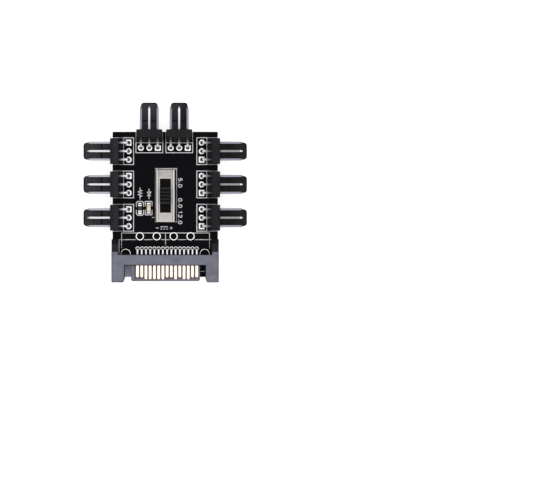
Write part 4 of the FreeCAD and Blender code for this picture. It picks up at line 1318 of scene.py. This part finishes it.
def block(centre, foot, top, height, rounding, power=6.0, sides=24):
    """A closed block whose outline is a superellipse: |x/a|^n + |y/b|^n = 1. Its
    half sizes go from foot to top over five levels, by the root of the level, and
    the last two are drawn in by the rounding. Lengths are in millimetres."""
    angle = np.linspace(0.0, 2.0 * np.pi, sides, endpoint=False)
    circle = np.stack([np.cos(angle), np.sin(angle)], axis=1)
    outline = circle * (np.abs(circle) ** power).sum(axis=1, keepdims=True) ** (-1.0 / power)
    foot, top = np.array(foot), np.array(top)
    half = foot + (top - foot) * LEVELS[:, None] ** 0.5 - INSETS[:, None] * rounding
    ground = (np.array(centre) + half[:, None, :] * outline) * MM
    points = over_board(ground, LEVELS[:, None] * height * MM)
    quads = grid_faces(len(LEVELS), sides)[:-sides]
    return points, quads, end_faces(len(LEVELS), sides)


print("faces of one block:", sum(map(len, block((0, 0), (1, 1), (1, 1), 1, 0.1)[1:])))

# %% Solder at both ends
CAP_MARGIN = 0.03
CAP_ROUNDING = 0.09
CAP_POWER = 12.0
LAND_ROUNDING = 0.03
LAND_HEIGHT = 0.08


def chip_ends(node, cap_length, cap_height, land_gap, land_lengths):
    """Both tinned ends of a chip part. A cap wraps each end of the body, and its
    land lies a little beyond it under a low cushion of solder."""
    low, high = (corner / MM for corner in box_of(node))
    middle, half = (low[0] + high[0]) / 2.0, (high[0] - low[0]) / 2.0
    cap = (half + CAP_MARGIN, cap_length / 2.0)
    ends = []
    for edge, side, land_length in zip((low[1], high[1]), (-1, 1), land_lengths):
        cap_y = edge + side * (CAP_MARGIN - cap_length / 2.0)
        ends.append(block((middle, cap_y), cap, cap, cap_height, CAP_ROUNDING, CAP_POWER))
        land_y = edge + side * (land_gap + land_length / 2.0)
        land = np.array([half, land_length / 2.0])
        cushion = land * (0.94, 0.85)
        ends.append(block((middle, land_y), land, cushion, LAND_HEIGHT, LAND_ROUNDING))
    return joined(ends)


led_ends = chip_ends("status_led_base", 0.34, 0.38, 0.03, (0.06, 0.12))
resistor_ends = chip_ends("chip_resistor", 0.38, 0.58, 0.2, (0.62, 0.38))
new_piece("status_led_solder", led_ends, "hub", bright_tin)
new_piece("resistor_solder", resistor_ends, "hub", bright_tin)

# %% [markdown]
# ## Foam pad
#
# The pad is cut from a sheet of closed-cell foam. Its cut edges are soft and a
# little uneven, and it is pressed in where the solder tails stand. It could be
# modelled anew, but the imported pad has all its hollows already. So it is made
# from that form: remeshed into small cells, smoothed at its edges, and moved in
# and out along its sides by a slow wave.

# %% Soft copy of the pad
FOAM_CELL = 0.3 * MM
SMOOTH_PASSES = 6


def soft_copy(node, cell, passes):
    """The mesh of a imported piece, remeshed and with its edges smoothed."""
    source = new_object("foam_source", nodes[node].data.copy())
    remesh = source.modifiers.new("cells", "REMESH")
    remesh.mode = "VOXEL"
    remesh.voxel_size = cell
    smooth = source.modifiers.new("soft_edges", "SMOOTH")
    smooth.factor = 0.5
    smooth.iterations = passes
    bpy.context.view_layer.update()
    evaluated = source.evaluated_get(bpy.context.evaluated_depsgraph_get())
    mesh = bpy.data.meshes.new_from_object(evaluated)
    bpy.data.objects.remove(source)
    return mesh


foam_mesh = soft_copy("foam_pad", FOAM_CELL, SMOOTH_PASSES)
print("points of the soft pad:", len(foam_mesh.vertices))

# %% Wavy sides
EDGE_WAVE = 0.06 * MM
EDGE_BAND = 0.1
WAVE_TURNS = (900.0, 1300.0)


def wave_sides(mesh, half):
    """Move each point towards the middle by a slow wave that is 0 on the flat faces:
    share = side * wave * (0.5 + 0.5 sin(900 x + 1300 y)), side = 1 at the outline
    and 0 from a tenth of the half size inside it."""
    points = np.empty(len(mesh.vertices) * 3)
    mesh.vertices.foreach_get("co", points)
    points = points.reshape(-1, 3)
    reach = (np.abs(points[:, :2]) / half).max(axis=1)
    side = np.clip((reach - (1.0 - EDGE_BAND)) / EDGE_BAND, 0.0, 1.0)
    swell = 0.5 + 0.5 * np.sin(points[:, :2] @ np.array(WAVE_TURNS))
    points[:, :2] -= np.sign(points[:, :2]) * (side * swell * EDGE_WAVE)[:, None]
    mesh.vertices.foreach_set("co", points.ravel())
    mesh.update()


foam_low, foam_high = box_of("foam_pad")
wave_sides(foam_mesh, (foam_high - foam_low)[:2] / 2.0)
print("sides wander in mm by:", round(EDGE_WAVE / MM, 3))

# %% Foam piece
foam_mesh.materials.clear()
foam_mesh.materials.append(foam)
foam_mesh.polygons.foreach_set("use_smooth", [True] * len(foam_mesh.polygons))
foam_piece = new_object("foam_cushion", foam_mesh)
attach(foam_piece, "hub")
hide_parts("foam_pad")
print("foam pad faces:", len(foam_mesh.polygons))

# %% [markdown]
# ## Sizes and end
#
# The finished hub has to fill the same box as its construction pieces. The two
# could be compared by eye, but boxes that are measured and printed can be compared
# by anyone.

# %% Sizes and end
boxes = {"cad": CAD_BOX, "visual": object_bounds()}
for name, box in boxes.items():
    print(name, "box in mm:", np.round(np.array(box) / MM, 2).tolist())
